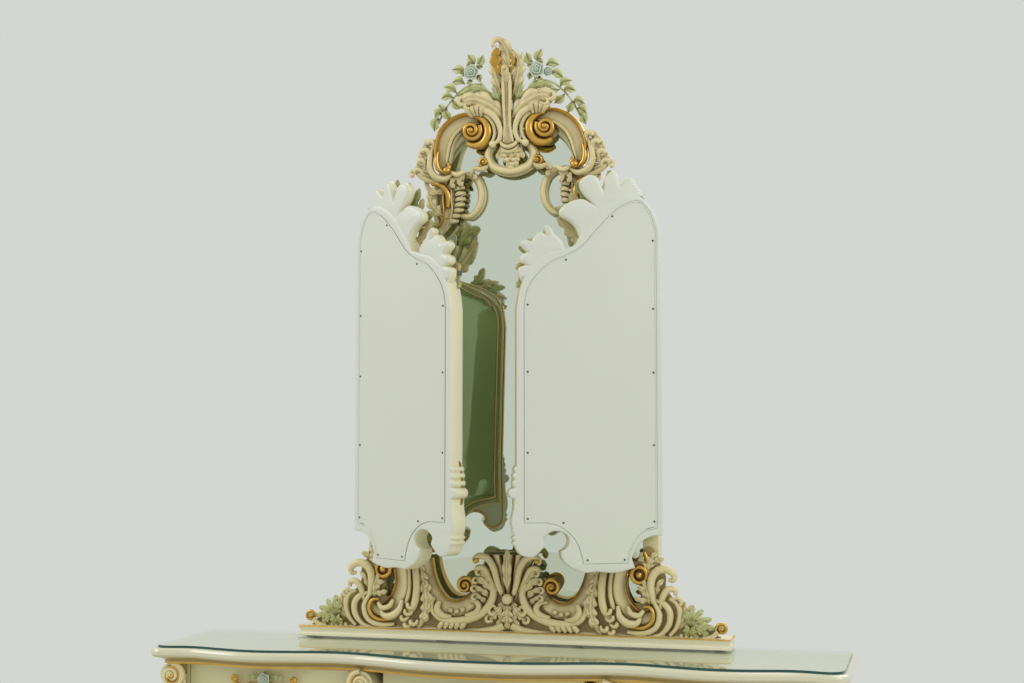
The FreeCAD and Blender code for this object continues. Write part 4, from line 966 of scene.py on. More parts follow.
def crest_loop():
    """The oval loop and the side scroll that runs down behind the wing."""
    s = Shape()
    s.ribbon([(13.0, 115.6, 0.6), (11.0, 115.6, 0.85), (9.0, 114.0, 1.0), (8.0, 110.8, 1.05),
              (8.6, 107.5, 1.0), (10.9, 105.1, 0.95), (13.4, 105.3, 0.6)], BAND, 1.9, count=7, floor=-1.2)
    s.leaf([(11.6, 116.0, 0.2), (9.9, 115.6, 0.9), (9.2, 114.2, 1.2)], 0.8, 2)
    s.ribbon([(14.8, 114.6, 0.9), (16.3, 112.2, 1.3), (16.5, 109.3, 1.5), (16.3, 106.3, 1.5),
              (17.2, 103.3, 1.3), (19.2, 101.0, 1.0), (21.0, 99.8, 0.5)], SCROLL, 1.6, count=7)
    for x, z in ((13.9, 113.6), (13.6, 112.2), (13.4, 110.8), (13.4, 109.4), (13.6, 108.0), (13.9, 106.6),
                 (14.5, 105.2), (15.2, 103.9)):
        s.tube([(x - 0.9, z + 0.2, -0.3, 0.5), (x, z, 0.9, 0.66), (x + 1.1, z - 0.3, 0.6, 0.5)],
               IVORY, 7, 3, glaze_and_shade=0.3)
    s.tube([(20.8, 113.4, 0.8, 0.45), (19.0, 113.4, 1.1, 0.6), (17.3, 112.2, 1.2, 0.7),
            (16.3, 110.0, 1.0, 0.75), (16.5, 107.4, 0.9, 0.6)], GILT, 8)
    s.leaf([(15.6, 104.5, 0.6), (18.6, 106.0, 1.0), (20.9, 108.6, 1.0), (21.6, 111.6, 0.8)], 1.5, 4)
    s.leaf([(16.6, 112.6, 0.6), (19.2, 111.4, 1.1), (21.4, 112.2, 1.1), (22.6, 114.0, 0.9)], 1.0, 3)
    s.leaf([(17.6, 102.8, 0.5), (20.9, 103.4, 0.9), (23.4, 105.2, 0.9)], 1.1, 3, GREEN)
    s.leaf([(18.4, 101.0, 0.5), (21.6, 99.4, 0.8), (24.6, 99.8, 0.8)], 1.0, 3, GREEN)
    s.tube([(19.6, 101.6, 0.6, 0.5), (22.0, 100.8, 0.9, 0.6), (23.6, 101.8, 1.0, 0.6),
            (23.2, 103.0, 1.0, 0.4)], GILT, 8)
    return s


def crest_sprig(tips, rose, bud):
    """A rose on its twig with pointed leaves. Tips are where each leaf starts and ends."""
    s = Shape()
    twig = [(4.6, 135.6), (7.6, 138.0), (11.2, 137.4), (14.2, 135.0), (16.6, 132.0), (18.3, 128.6)]
    s.tube([(x, z, 1.6, 0.26) for x, z in twig], GREEN, 7)
    s.tube([(5.2, 135.8, 1.6, 0.3), (7.0, 138.4, 2.0, 0.3), (rose[0], rose[1], 2.2, 0.3)], GREEN, 7)
    for x0, z0, x1, z1, w in tips:
        bend = np.array((-(z1 - z0), x1 - x0)) * 0.14
        middle = (np.array((x0, z0)) + (x1, z1)) / 2 + bend
        far = (x1 + (x1 - x0) * 0.16, z1 + (z1 - z0) * 0.16)
        s.leaf([(x0, z0, 1.7), (*middle, 2.7), (*far, 1.8)], w * 1.3, 1, GREEN, notch=0.12, puff=0.16,
               thick=0.32, base=0.1, steps=11, across=4, point=1.7, tip=0.02, crease=-0.2)
    s.rose(*rose, 2.2, 2.1)
    for k in range(5):
        a = 1.2 + k * 2 * pi / 5
        s.leaf([(rose[0] + 1.2 * cos(a), rose[1] + 1.2 * sin(a), 2.0),
                (rose[0] + 2.2 * cos(a), rose[1] + 2.2 * sin(a), 2.5),
                (rose[0] + 3.0 * cos(a + 0.2), rose[1] + 3.0 * sin(a + 0.2), 2.2)],
               0.75, 1, GREEN, notch=0.1, thick=0.3, base=0.3, steps=9, point=1.2, tip=0.04, crease=-0.1)
    if bud:
        s.rose(*bud, 2.0, 1.3)
    return s


def crest_centre():
    """The stem, the ring, the upright leaves and the side leaves."""
    s = Shape()
    half = Shape()
    half.tube([(0.75, 122.8, 2.6, 0.75), (0.62, 127, 2.8, 0.42), (0.75, 132, 2.9, 0.46),
               (0.85, 137, 3.2, 0.5), (0.7, 140, 3.6, 0.4)], IVORY, 8, glaze_and_shade=0.1)
    half.leaf([(0.6, 128.6, 1.8), (3.0, 131.3, 2.8), (6.4, 133.4, 3.4), (9.6, 134.0, 3.5),
               (11.6, 132.9, 3.4)], 2.4, 3, cup=-0.32, thick=0.9, tip=0.3, notch=0.4, puff=0.3)
    half.leaf([(5.6, 132.0, 2.2), (8.0, 131.8, 3.0), (10.4, 131.4, 3.2)], 0.9, 3, thick=0.5)
    half.hook(11.3, 133.4, 3.2, 1.4, 120, -240, 0.6)
    half.hook(9.9, 132.2, 3.1, 1.1, 110, -230, 0.5)
    half.leaf([(2.4, 130.8, 2.4), (5.2, 132.9, 3.4), (8.4, 134.6, 3.6), (10.6, 134.8, 3.2)],
              1.2, 4, thick=0.6)
    half.leaf([(1.0, 131.6, 1.2), (2.6, 134.4, 2.2), (3.4, 137.6, 2.4)], 1.5, 3, GREEN, thick=0.4)
    half.leaf([(3.2, 133.6, 1.4), (6.0, 136.0, 2.2), (9.2, 136.9, 2.4), (11.6, 136.0, 2.2)],
              1.2, 4, GREEN, thick=0.4)
    half.leaf([(0.8, 133.5, 1.6), (2.2, 137.4, 2.6), (3.2, 141.0, 3.2), (4.0, 144.9, 3.0)],
              1.8, 4, cup=-0.35, thick=0.7, point=1.1, tip=0.05)
    # The ring's end balls and the gold curls on it
    half.ball(4.2, 122.5, 2.4, 0.95, IVORY)
    half.volute(6.9, 118.3, 1.35, 1.4, radians(200), GILT, 0.45, 1.4, way=1, rise=0.8)
    half.ball(6.9, 118.3, 0.9, 1.5, GILT, 12, 0.5, 0.5)
    half.tube([(6.0, 117.4, 1.3, 0.6), (7.4, 116.5, 1.5, 0.75), (9.4, 116.9, 1.3, 0.6),
               (10.4, 115.9, 1.2, 0.6)], IVORY, 8, glaze_and_shade=0.3)
    half.leaf([(1.4, 121.4, 1.0), (2.9, 120.4, 1.6), (3.3, 118.9, 1.6)], 0.75, 2, thick=0.3)
    s.both(half)
    s.ribbon([(-4.2, 122.8, 0.8), (-5.7, 120.9, 1.0), (-5.7, 118.7, 1.15), (-4.0, 116.7, 1.2),
              (0, 115.7, 1.25), (4.0, 116.7, 1.2), (5.7, 118.7, 1.15), (5.7, 120.9, 1.0), (4.2, 122.8, 0.8)],
             BAND, 2.0, count=7)
    # The bulb of the stem and its crescent collars
    s.tube([(0, 121.6, 2.0, 0.8), (0, 122.8, 2.3, 1.4), (0, 124.6, 2.4, 1.2), (0, 127.4, 2.3, 0.85),
            (0, 132, 2.3, 0.85), (0, 138, 2.5, 1.1), (0, 142, 2.9, 1.2)], IVORY, 12, glaze_and_shade=0.9)
    for drop, out in ((0.0, 2.9), (1.1, 2.4)):
        s.tube([(-2.2, 123.4 - drop, out - 0.9, 0.4), (-1.5, 122.2 - drop, out - 0.1, 0.52),
                (0, 121.5 - drop, out + 0.3, 0.56), (1.5, 122.2 - drop, out - 0.1, 0.52),
                (2.2, 123.4 - drop, out - 0.9, 0.4)], IVORY, 8, glaze_and_shade=0.1)
    return s


def crest_plume():
    """The plume's broad leaf, which leans forward to a curled tip."""
    s = Shape()
    s.tube([(0, 137.0, 1.2, 1.6), (0, 140.2, 1.8, 2.2), (-0.2, 143.0, 2.6, 2.2), (-0.3, 145.0, 3.8, 1.3),
            (-0.4, 146.0, 4.8, 0.6)], IVORY, 12, squash=0.5, glaze_and_shade=0.3)
    s.leaf([(0.3, 135.5, 1.8), (0.7, 139.6, 3.0), (0.9, 142.6, 3.7), (0.6, 145.0, 4.7), (-0.2, 146.8, 5.6),
            (-1.2, 147.6, 6.2), (-2.1, 147.2, 6.6), (-2.4, 146.2, 6.6)],
           1.95, 5, cup=-0.3, thick=0.7, tip=0.1, notch=0.45, steps=9, puff=0.3, point=1.3)
    s.leaf([(-1.0, 139.4, 2.9), (-2.2, 141.6, 3.6), (-2.6, 143.8, 4.2), (-1.9, 145.8, 5.0)],
           1.6, 3, GILT, thick=0.6, notch=0.35)
    s.leaf([(1.4, 138.6, 2.8), (2.7, 141.0, 3.2), (3.0, 143.2, 3.8), (1.9, 145.2, 4.4)], 1.3, 3, thick=0.6)
    s.leaf([(1.0, 140.2, 3.6), (1.8, 142.4, 4.2), (1.6, 144.4, 4.8)], 0.7, 3, GILT, thick=0.4)
    s.hook(-1.9, 146.6, 6.4, 0.75, 60, 260, 0.34, rise=0.2)
    # The small beak half way up the stem
    s.tube([(0, 138.0, 3.2, 0.6), (0, 139.8, 4.4, 1.0), (0, 140.9, 5.1, 0.8), (0, 141.0, 5.8, 0.5),
            (0, 140.3, 6.1, 0.35)], IVORY, 9, glaze_and_shade=0.3)
    return s


def grapes():
    """The bunch of grapes in the ring."""
    s = Shape()
    for row, count in enumerate((4, 4, 3, 2, 1)):
        for k in range(count):
            x = (k - (count - 1) / 2) * 1.5 + (0.35 if row % 2 else 0)
            z = 121.0 - row * 1.08
            s.ball(x, z, 1.5 - abs(x) * 0.2 - row * 0.06, 0.9, IVORY, 10, glaze_and_shade=0.0)
            if k and row < 4:
                s.ball(x - 0.75, z - 0.3, 2.0 - abs(x) * 0.22 - row * 0.08, 0.78, IVORY, 10, glaze_and_shade=0.0)
    return s


LEFT_TIPS = [
    (9.0, 142.2, 10.3, 145.3, 0.9), (8.2, 142.2, 6.8, 144.9, 0.9), (10.8, 140.6, 14.2, 142.0, 0.95),
    (11.0, 138.2, 14.1, 138.9, 0.9), (13.2, 135.9, 16.3, 137.7, 0.9), (14.0, 134.9, 17.0, 135.0, 0.9),
    (14.6, 134.6, 12.0, 132.6, 0.9), (13.6, 135.6, 10.8, 135.9, 0.85), (16.0, 132.6, 15.2, 129.8, 0.9),
    (17.0, 131.2, 18.9, 130.4, 1.0), (17.6, 130.0, 19.2, 127.2, 1.0), (16.8, 131.0, 18.0, 133.2, 0.8),
]
RIGHT_TIPS = [
    (6.8, 142.0, 5.0, 144.8, 0.95), (8.0, 142.2, 8.6, 145.4, 0.9), (9.6, 141.6, 12.6, 141.6, 0.95),
    (10.6, 139.6, 13.7, 138.5, 0.9), (13.2, 136.0, 15.8, 137.3, 0.9), (14.0, 135.0, 16.8, 134.9, 0.9),
    (14.6, 134.4, 12.2, 132.4, 0.9), (13.4, 135.4, 10.6, 135.6, 0.85), (16.4, 132.0, 19.0, 131.6, 0.95),
    (17.4, 130.4, 19.6, 129.2, 0.95), (18.0, 129.2, 19.4, 126.8, 0.95), (16.2, 132.4, 15.4, 129.9, 0.85),
]


# The base carving

BASE_GROUND = [
    [
        [(0, PLINTH_RISE + 0.1), (50.6, PLINTH_RISE + 0.1)],
        [
            (50.6, PLINTH_RISE + 0.1), (50.8, 3.7), (49.4, 5.2), (46.4, 7.4), (43.6, 8.8), (41.6, 10.2),
            (40.2, 11.8), (38.6, 14.2), (38.6, 16.8), (37.4, 19.2), (36.4, 22.0), (35.2, 23.6), (33.6, 23.4),
            (32.4, 21.2), (31.0, 20.2), (29.4, 21.0), (27.4, 21.6), (24.4, 21.2), (22.0, 20.6), (20.9, 17.4),
            (19.8, 13.8), (17.6, 10.6), (14.4, 9.2), (11.6, 9.6), (9.6, 11.0), (8.6, 13.6), (7.6, 15.4),
            (5.6, 16.8), (3.0, 17.6), (0, 17.8),
        ],
        [(0, 17.8), (0, PLINTH_RISE + 0.1)],
    ],
    [[
        (29.6, 19.2), (28.9, 16), (29.2, 13), (30.4, 10.8), (31.8, 10.4), (32.6, 11.6), (32.0, 13.4),
        (32.2, 15.0), (30.8, 17.0), (31.0, 18.6), (29.6, 19.2),
    ]],
]


def base_cradle(s):
    """The cradle under the mirror, its gold volute, and the shells that hold it."""
    s.ribbon([(9.0, 13.4, 0.9), (8.8, 11.0, 1.6), (10.9, 8.5, 2.2), (14.2, 7.6, 2.5), (17.2, 8.8, 2.5),
              (19.4, 12.0, 2.2), (20.7, 16.0, 1.9), (21.2, 20.0, 1.7)], CRADLE, 2.1, count=7)
    s.volute(11.0, 13.6, 2.1, 1.5, radians(195), GILT, 0.62, 1.5, way=-1, rise=0.9)
    s.ball(11.0, 13.6, 0.6, 1.9, IVORY, 14, 0.5, 0.9)
    s.tube([(6.2, 15.6, 1.0, 0.5), (4.4, 14.0, 1.5, 0.75), (3.7, 11.6, 1.9, 0.9), (4.7, 8.9, 2.1, 1.0),
            (6.9, 6.8, 2.1, 1.05), (9.9, 5.5, 2.1, 1.05), (13.0, 4.9, 2.0, 1.0), (16.2, 5.1, 1.9, 0.95),
            (18.6, 6.7, 1.9, 0.9), (19.5, 8.9, 1.8, 0.7), (18.8, 10.6, 1.7, 0.45)], IVORY, 10, glaze_and_shade=0.1)
    s.tube([(9.8, 10.0, 1.6, 0.4), (8.0, 9.8, 2.0, 0.65), (7.2, 8.4, 2.3, 0.8), (8.1, 7.0, 2.4, 0.85),
            (10.6, 6.2, 2.2, 0.6)], IVORY, 9, glaze_and_shade=0.1)
    s.tube([(14.4, 5.8, 1.9, 0.5), (16.6, 6.2, 2.4, 0.85), (17.9, 7.8, 2.5, 0.85), (17.4, 9.6, 2.2, 0.5)],
           IVORY, 9, glaze_and_shade=0.1)
    for x, z, turn in ((11.6, 7.6, 0), (13.2, 7.1, 6), (14.8, 7.3, 14)):
        s.ball(x, z, 1.4, 0.75, IVORY, 10, 0.8, 0.1)
    for x0, z0, x1, z1, x2, z2, w in (
        (4.6, 10.4, 6.2, 12.4, 8.6, 13.2, 0.85), (4.4, 12.0, 5.9, 14.2, 8.2, 15.2, 0.85),
        (4.2, 13.4, 5.4, 15.8, 7.4, 17.2, 0.8), (5.2, 9.0, 6.6, 10.6, 8.4, 11.2, 0.7),
    ):
        s.leaf([(x0, z0, 1.5), (x1, z1, 2.4), (x2, z2, 2.2)], w, 2, thick=0.5)
        s.hook(x2 - 0.2, z2 - 0.4, 2.1, 0.9, 130, -250, 0.4)
    for x in (11.4, 12.8, 14.2, 15.6, 17.0):
        s.tube([(x - 1.0, 5.0, 1.8, 0.4), (x - 0.3, 4.2, 2.4, 0.7), (x + 0.45, 3.3, 2.1, 0.62)],
               IVORY, 8, 4, glaze_and_shade=0.15)


def base_middle(s):
    """The leaf and the bands between the cradle and the second scroll."""
    s.leaf([(23.0, 19.6, 1.2), (21.9, 15.6, 1.9), (20.9, 11.6, 2.4), (20.7, 8.2, 2.5), (21.6, 5.2, 2.3),
            (23.4, 3.1, 1.8)], 1.7, 7, thick=0.7)
    for x, z in ((22.2, 13.6), (21.6, 10.8), (21.5, 8.2), (22.2, 5.8)):
        s.hook(x - 0.9, z, 2.0, 1.0, 60, 230, 0.42)
    s.tube([(24.4, 20.0, 1.0, 0.75), (23.6, 16.2, 1.8, 0.95), (23.3, 12.2, 2.1, 1.0), (23.9, 8.8, 2.1, 0.95),
            (25.4, 6.6, 1.8, 0.75)], IVORY, 9, glaze_and_shade=0.1)
    s.tube([(26.2, 19.8, 1.0, 0.45), (25.4, 16.0, 1.5, 0.55), (25.3, 12.2, 1.7, 0.6), (26.2, 8.8, 1.7, 0.6)],
           IVORY, 8, glaze_and_shade=0.2)
    for x, z, size in ((24.9, 8.7, 1.25), (25.6, 7.1, 1.2), (26.6, 5.7, 1.15), (24.2, 4.6, 1.1),
                       (25.8, 3.9, 0.95)):
        s.hook(x, z, 2.2, size, 165, 215, 0.55)


def base_scroll(s):
    """The second C scroll, its crescents and the gold C that closes it."""
    s.ribbon([(29.4, 20.6, 1.4), (27.9, 17.4, 1.9), (27.3, 13.8, 2.1), (28.3, 10.2, 2.2), (30.7, 7.5, 2.1),
              (33.5, 6.7, 1.7), (35.5, 8.0, 1.2), (35.0, 9.9, 0.7)], CRADLE, 2.1, count=7)
    s.tube([(27.2, 9.6, 1.9, 0.45), (27.8, 7.2, 2.5, 0.85), (29.8, 5.7, 2.6, 1.0), (31.9, 5.9, 2.4, 0.8),
            (32.6, 7.3, 2.2, 0.45)], IVORY, 9, glaze_and_shade=0.1)
    s.tube([(29.6, 9.6, 1.9, 0.4), (30.5, 8.0, 2.4, 0.7), (32.3, 7.6, 2.4, 0.7), (33.5, 8.8, 2.1, 0.4)],
           IVORY, 8, glaze_and_shade=0.1)
    s.tube([(30.6, 4.8, 1.8, 0.45), (33.2, 4.7, 2.1, 0.5), (35.2, 5.8, 2.2, 0.5), (35.9, 7.8, 2.2, 0.5),
            (35.0, 9.5, 2.0, 0.45), (33.5, 9.6, 1.8, 0.35)], GILT, 9)
    s.tube([(29.4, 3.6, 1.4, 0.5), (33.2, 3.5, 1.7, 0.75), (36.2, 4.8, 1.8, 0.8), (37.2, 7.9, 1.8, 0.8),
            (36.0, 10.8, 1.6, 0.6)], IVORY, 9, glaze_and_shade=0.1)
    ring = [(32.4 + 1.85 * cos(a), 17.1 + 1.85 * sin(a), 1.6, 0.55) for a in np.arange(8) * pi / 4]
    s.tube(ring, GILT, 9, 4, closed=True)
    s.ball(32.4, 17.1, 0.7, 1.7, IVORY, 12, 0.4, 1.2)
    s.ball(32.4, 17.1, 1.8, 0.85, GILT, 12)
    s.tube([(33.9, 18.4, 1.4, 0.5), (34.4, 20.4, 1.3, 0.5), (33.6, 22.4, 1.1, 0.4)], GILT, 8)


def base_end(s):
    """The leaves beside the dark hole, the curls at their right, the green fan and the end curl."""
    s.leaf([(34.8, 9.8, 1.3), (34.6, 12.6, 2.3), (33.9, 15.0, 2.1)], 1.5, 3, thick=0.6)
    for x, z, w in ((31.3, 11.6, 0.8), (32.0, 14.0, 0.8), (33.0, 15.6, 0.7)):
        s.leaf([(34.6, 10.6, 1.3), ((34.4 + x) / 2, z - 0.3, 2.3), (x, z, 1.9)], w, 2, thick=0.5)
    s.tube([(35.9, 10.6, 1.5, 0.75), (35.3, 13.6, 1.9, 0.95), (35.5, 16.4, 2.1, 1.0), (37.0, 18.3, 2.2, 1.0),
            (39.3, 18.5, 2.2, 0.95), (40.8, 17.2, 2.1, 0.8), (40.5, 16.0, 2.0, 0.6), (39.4, 16.2, 1.9, 0.4)],
           IVORY, 10, glaze_and_shade=0.1)
    s.leaf([(36.2, 12.0, 1.4), (36.9, 14.6, 2.2), (38.2, 16.2, 2.2)], 0.8, 2)
    s.leaf([(34.8, 15.0, 1.2), (34.6, 18.6, 1.7), (35.2, 20.8, 1.5), (36.2, 22.2, 1.0)], 1.4, 5)
    s.leaf([(35.6, 18.8, 1.2), (36.9, 20.6, 1.6), (38.2, 21.0, 1.5)], 0.9, 3)
    s.leaf([(34.2, 19.0, 1.1), (32.9, 20.9, 1.3), (32.8, 22.4, 1.0)], 0.9, 3)
    s.tube([(37.4, 9.4, 1.5, 0.6), (38.1, 12.2, 1.9, 0.8), (39.5, 14.0, 2.0, 0.8), (41.1, 13.7, 1.9, 0.65),
            (41.0, 12.5, 1.9, 0.45)], IVORY, 9, glaze_and_shade=0.1)
    s.tube([(36.4, 11.2, 1.5, 0.5), (38.4, 10.4, 1.9, 0.75), (39.8, 8.4, 2.0, 0.8), (39.5, 5.6, 1.9, 0.75),
            (37.6, 3.4, 1.6, 0.55), (35.4, 2.9, 1.3, 0.4)], IVORY, 9, glaze_and_shade=0.1)
    s.tube([(39.6, 11.6, 1.4, 0.45), (41.4, 10.8, 1.9, 0.65), (42.2, 8.4, 1.9, 0.7), (41.3, 5.2, 1.7, 0.6),
            (39.6, 3.1, 1.5, 0.45)], IVORY, 9, glaze_and_shade=0.1)
    s.hook(41.8, 10.9, 1.9, 1.3, 180, -260, 0.5)
    for x0, x1, z1 in ((42.0, 43.2, 11.0), (42.8, 44.6, 10.2), (41.6, 41.9, 9.4)):
        s.leaf([(x0, 4.2, 1.2), ((x0 + x1) / 2 + 0.5, (4.2 + z1) / 2, 2.1), (x1, z1, 1.9)], 0.95, 3)
    for x1, z1 in ((43.4, 9.4), (45.2, 10.2), (47.4, 9.2), (49.4, 7.2), (50.2, 5.0), (48.6, 3.4), (45.8, 2.9),
                   (43.6, 3.2)):
        s.leaf([(44.6, 5.2, 1.6), ((44.6 + x1) / 2, (5.2 + z1) / 2 + 0.6, 2.7), (x1, z1, 1.6)], 1.1, 3, GREEN)
    s.tube([(47.4, 2.9, 1.3, 0.5), (49.6, 3.1, 1.5, 0.6), (51.0, 4.4, 1.6, 0.6)], IVORY, 8, glaze_and_shade=0.2)
    s.volute(51.9, 4.9, 1.4, 1.2, radians(180), GILT, 0.45, 1.1, way=-1, rise=0.6)
    s.ball(51.9, 4.9, 0.8, 1.3, IVORY, 12, 0.6)
    for x in (42.4, 43.6, 44.8, 46.0):
        s.ball(x, PLINTH_RISE + 0.7, 1.3, 0.6, IVORY, 8, 1.2, 0.2)
    for x in (34.8, 35.9, 37.0, 38.1):
        s.ball(x, PLINTH_RISE + 0.55, 1.2, 0.5, IVORY, 8, 1.2, 0.2)


def clear_the_wings(shape):
    """Draw in what stands above the wings' feet, so that a folded wing passes over it.

    The room grows with the way from the mirror's edge, and again with the way down from the wing's foot.
    """
    foot = (WING_FOOT - TABLE) / CM
    inner, corner, outer = WING_PASSES
    for i, (x, z, out) in enumerate(shape.points):
        if inner < x < corner and z > foot - 2.0 or corner <= x < outer and z > foot + 0.9:
            room = (MIRROR_HALF / CM - x) * ROOM_BEHIND_WING + max(0.0, foot - 0.3 - z) * ROOM_UNDER_WING
            shape.points[i] = (x, z, min(out, max(room, 0.1)))


def base_half():
    """The carving that cradles the mirror's foot, on the right."""
    s = Shape()
    base_cradle(s)
    base_middle(s)
    base_scroll(s)
    base_end(s)
    low = PLINTH_RISE + 0.35
    s.ribbon([(3.0, low, 0.4), (20, low, 0.45), (36, low, 0.45), (51.5, low, 0.4)], BAND, 1.5, count=5)
    clear_the_wings(s)
    return s


def base_calyx():
    """The ribbed cup between the two cradles, with its ball, its curled tips and its skirt of leaves."""
    s = Shape()
    s.ribbon([(0, 9.8, 1.1), (0, 11.2, 2.2), (0, 13.4, 3.3), (0, 16.0, 4.1), (0, 18.2, 4.9), (0, 20.0, 6.0),
              (0, 21.2, 6.6)], CUP, 2.9, count=5)
    s.ball(0, 10.6, 2.5, 1.35, IVORY, 14)
    s.leaf([(0, 12.4, 2.2), (0, 15.8, 2.9), (0, 19.4, 3.0), (0, 22.4, 2.3)], 1.2, 3, notch=0.2, thick=0.6)
    half = Shape()
    half.tube([(1.5, 11.8, 2.0, 0.6), (2.5, 14.8, 2.6, 0.75), (3.3, 18.0, 2.9, 0.85), (4.8, 20.3, 3.0, 0.85),
               (6.9, 21.0, 2.9, 0.8), (8.2, 20.0, 2.9, 0.6), (7.8, 19.1, 2.9, 0.45)], IVORY, 9, glaze_and_shade=0.1)
    half.ball(7.7, 19.9, 3.1, 0.75, GILT)
    half.tube([(2.6, 12.4, 1.4, 0.55), (4.3, 15.4, 2.0, 0.7), (5.6, 17.6, 2.2, 0.75), (7.3, 18.2, 2.2, 0.65),
               (8.2, 17.2, 2.1, 0.45)], IVORY, 9, glaze_and_shade=0.1)
    half.tube([(2.8, 11.6, 1.2, 0.5), (4.9, 13.4, 1.8, 0.6), (6.3, 15.2, 1.9, 0.6), (7.8, 15.4, 1.8, 0.45)],
              IVORY, 8, glaze_and_shade=0.15)
    half.leaf([(0.8, 10.4, 1.6), (2.0, 8.2, 2.5), (3.9, 6.4, 2.4), (4.6, 4.8, 2.1)], 1.3, 4)
    half.hook(3.6, 7.6, 2.2, 1.3, 120, -260, 0.5)
    half.hook(4.6, 5.6, 2.0, 1.0, 120, -260, 0.42)
    half.leaf([(0.6, 9.8, 1.4), (1.2, 6.6, 2.3), (2.6, 4.0, 1.9)], 1.2, 3)
    half.tube([(1.0, 4.2, 1.6, 1.1), (3.4, 3.2, 1.6, 0.95), (7.2, 2.7, 1.3, 0.65), (11.0, 2.5, 1.0, 0.35)],
              IVORY, 9, glaze_and_shade=0.2)
    s.both(half)
    s.leaf([(0, 10.0, 1.8), (0, 7.0, 2.9), (0, 3.6, 2.2)], 1.6, 4)
    return s


# The wings

def moved_out(line, distance):
    """A closed line moved to its left by that distance."""
    ahead = unit(np.roll(line, -1, 0) - np.roll(line, 1, 0))
    return line + distance * np.stack([-ahead[:, 1], ahead[:, 0]], 1)


def warm_sides(piece, side):
    """Give the faces round a wing's edge the warmer tone of its sides."""
    place = on_wing(side)
    back = place(np.array([(0, 0, 1.0)]))[0] - place(np.array([(0, 0, 0.0)]))[0]
    for face in piece.data.polygons:
        if abs(face.normal @ Vector(back)) < 0.55:
            face.material_index = 1


def out_of_wing(side, depth, way=-1):
    """Metres across and up on a wing, and out from that depth to its mirror side, or its back with way 1."""
    place = on_wing(side)
    return lambda p: place(np.stack([p[:, 0], p[:, 1], depth + way * p[:, 2]], 1))


def closed_path(runs, half, distance):
    """A wing's outline in centimetres, moved out, with a half width at each point."""
    line = runs_path(shares(runs, WING_WIDTH / CM, WING_HEIGHT / CM))
    return [(x, z, half) for x, z in moved_out(line, distance)]


def wing_frame(side):
    """A wing's frame: its body round the board, the lip that holds the glass, and its mouldings."""
    place = on_wing(side)
    outer = shares(WING, WING_WIDTH, WING_HEIGHT)
    board = shares(WING_BOARD, WING_WIDTH, WING_HEIGHT)
    sight = shares(WING_SIGHT, WING_WIDTH, WING_HEIGHT)
    body = plate(side + "_wing_frame", [outer, board], *WING_BODY, place, 0.0045)
    paint(body, "white_lacquer", "warm_lacquer")
    warm_sides(body, side)
    dress(body, side + "_wing", "white_lacquer", side + "_wing_frame")
    lip = plate(side + "_wing_lip", [board, sight], *WING_LIP, place, 0.002)
    paint(lip, "ivory_lacquer")
    dress(lip, side + "_wing", "ivory_lacquer")
    bead = Shape()
    bead.ribbon(closed_path(WING_BOARD, 0.16, -0.05), IVORY_BEAD, 0.12, mitre=True)
    piece = bead.build(
        side + "_wing_back_bead", out_of_wing(side, WING_BACK_BEAD, 1), ("white_lacquer", "antique_gilt"),
    )
    dress(piece, side + "_wing", "white_lacquer")
    front = Shape()
    front.ribbon(closed_path(WING_SIGHT, 0.5, 0.5), MOULDING, 0.32, mitre=True)
    front.ribbon(closed_path(WING_BOARD, 0.55, 0.35), IVORY_BEAD, 0.3, mitre=True)
    front.ribbon(closed_path(WING_LINE, 0.2, -0.62), BEAD, 0.25, mitre=True)
    carve(front, side + "_wing_mouldings", side + "_wing", out_of_wing(side, WING_MOULDINGS))


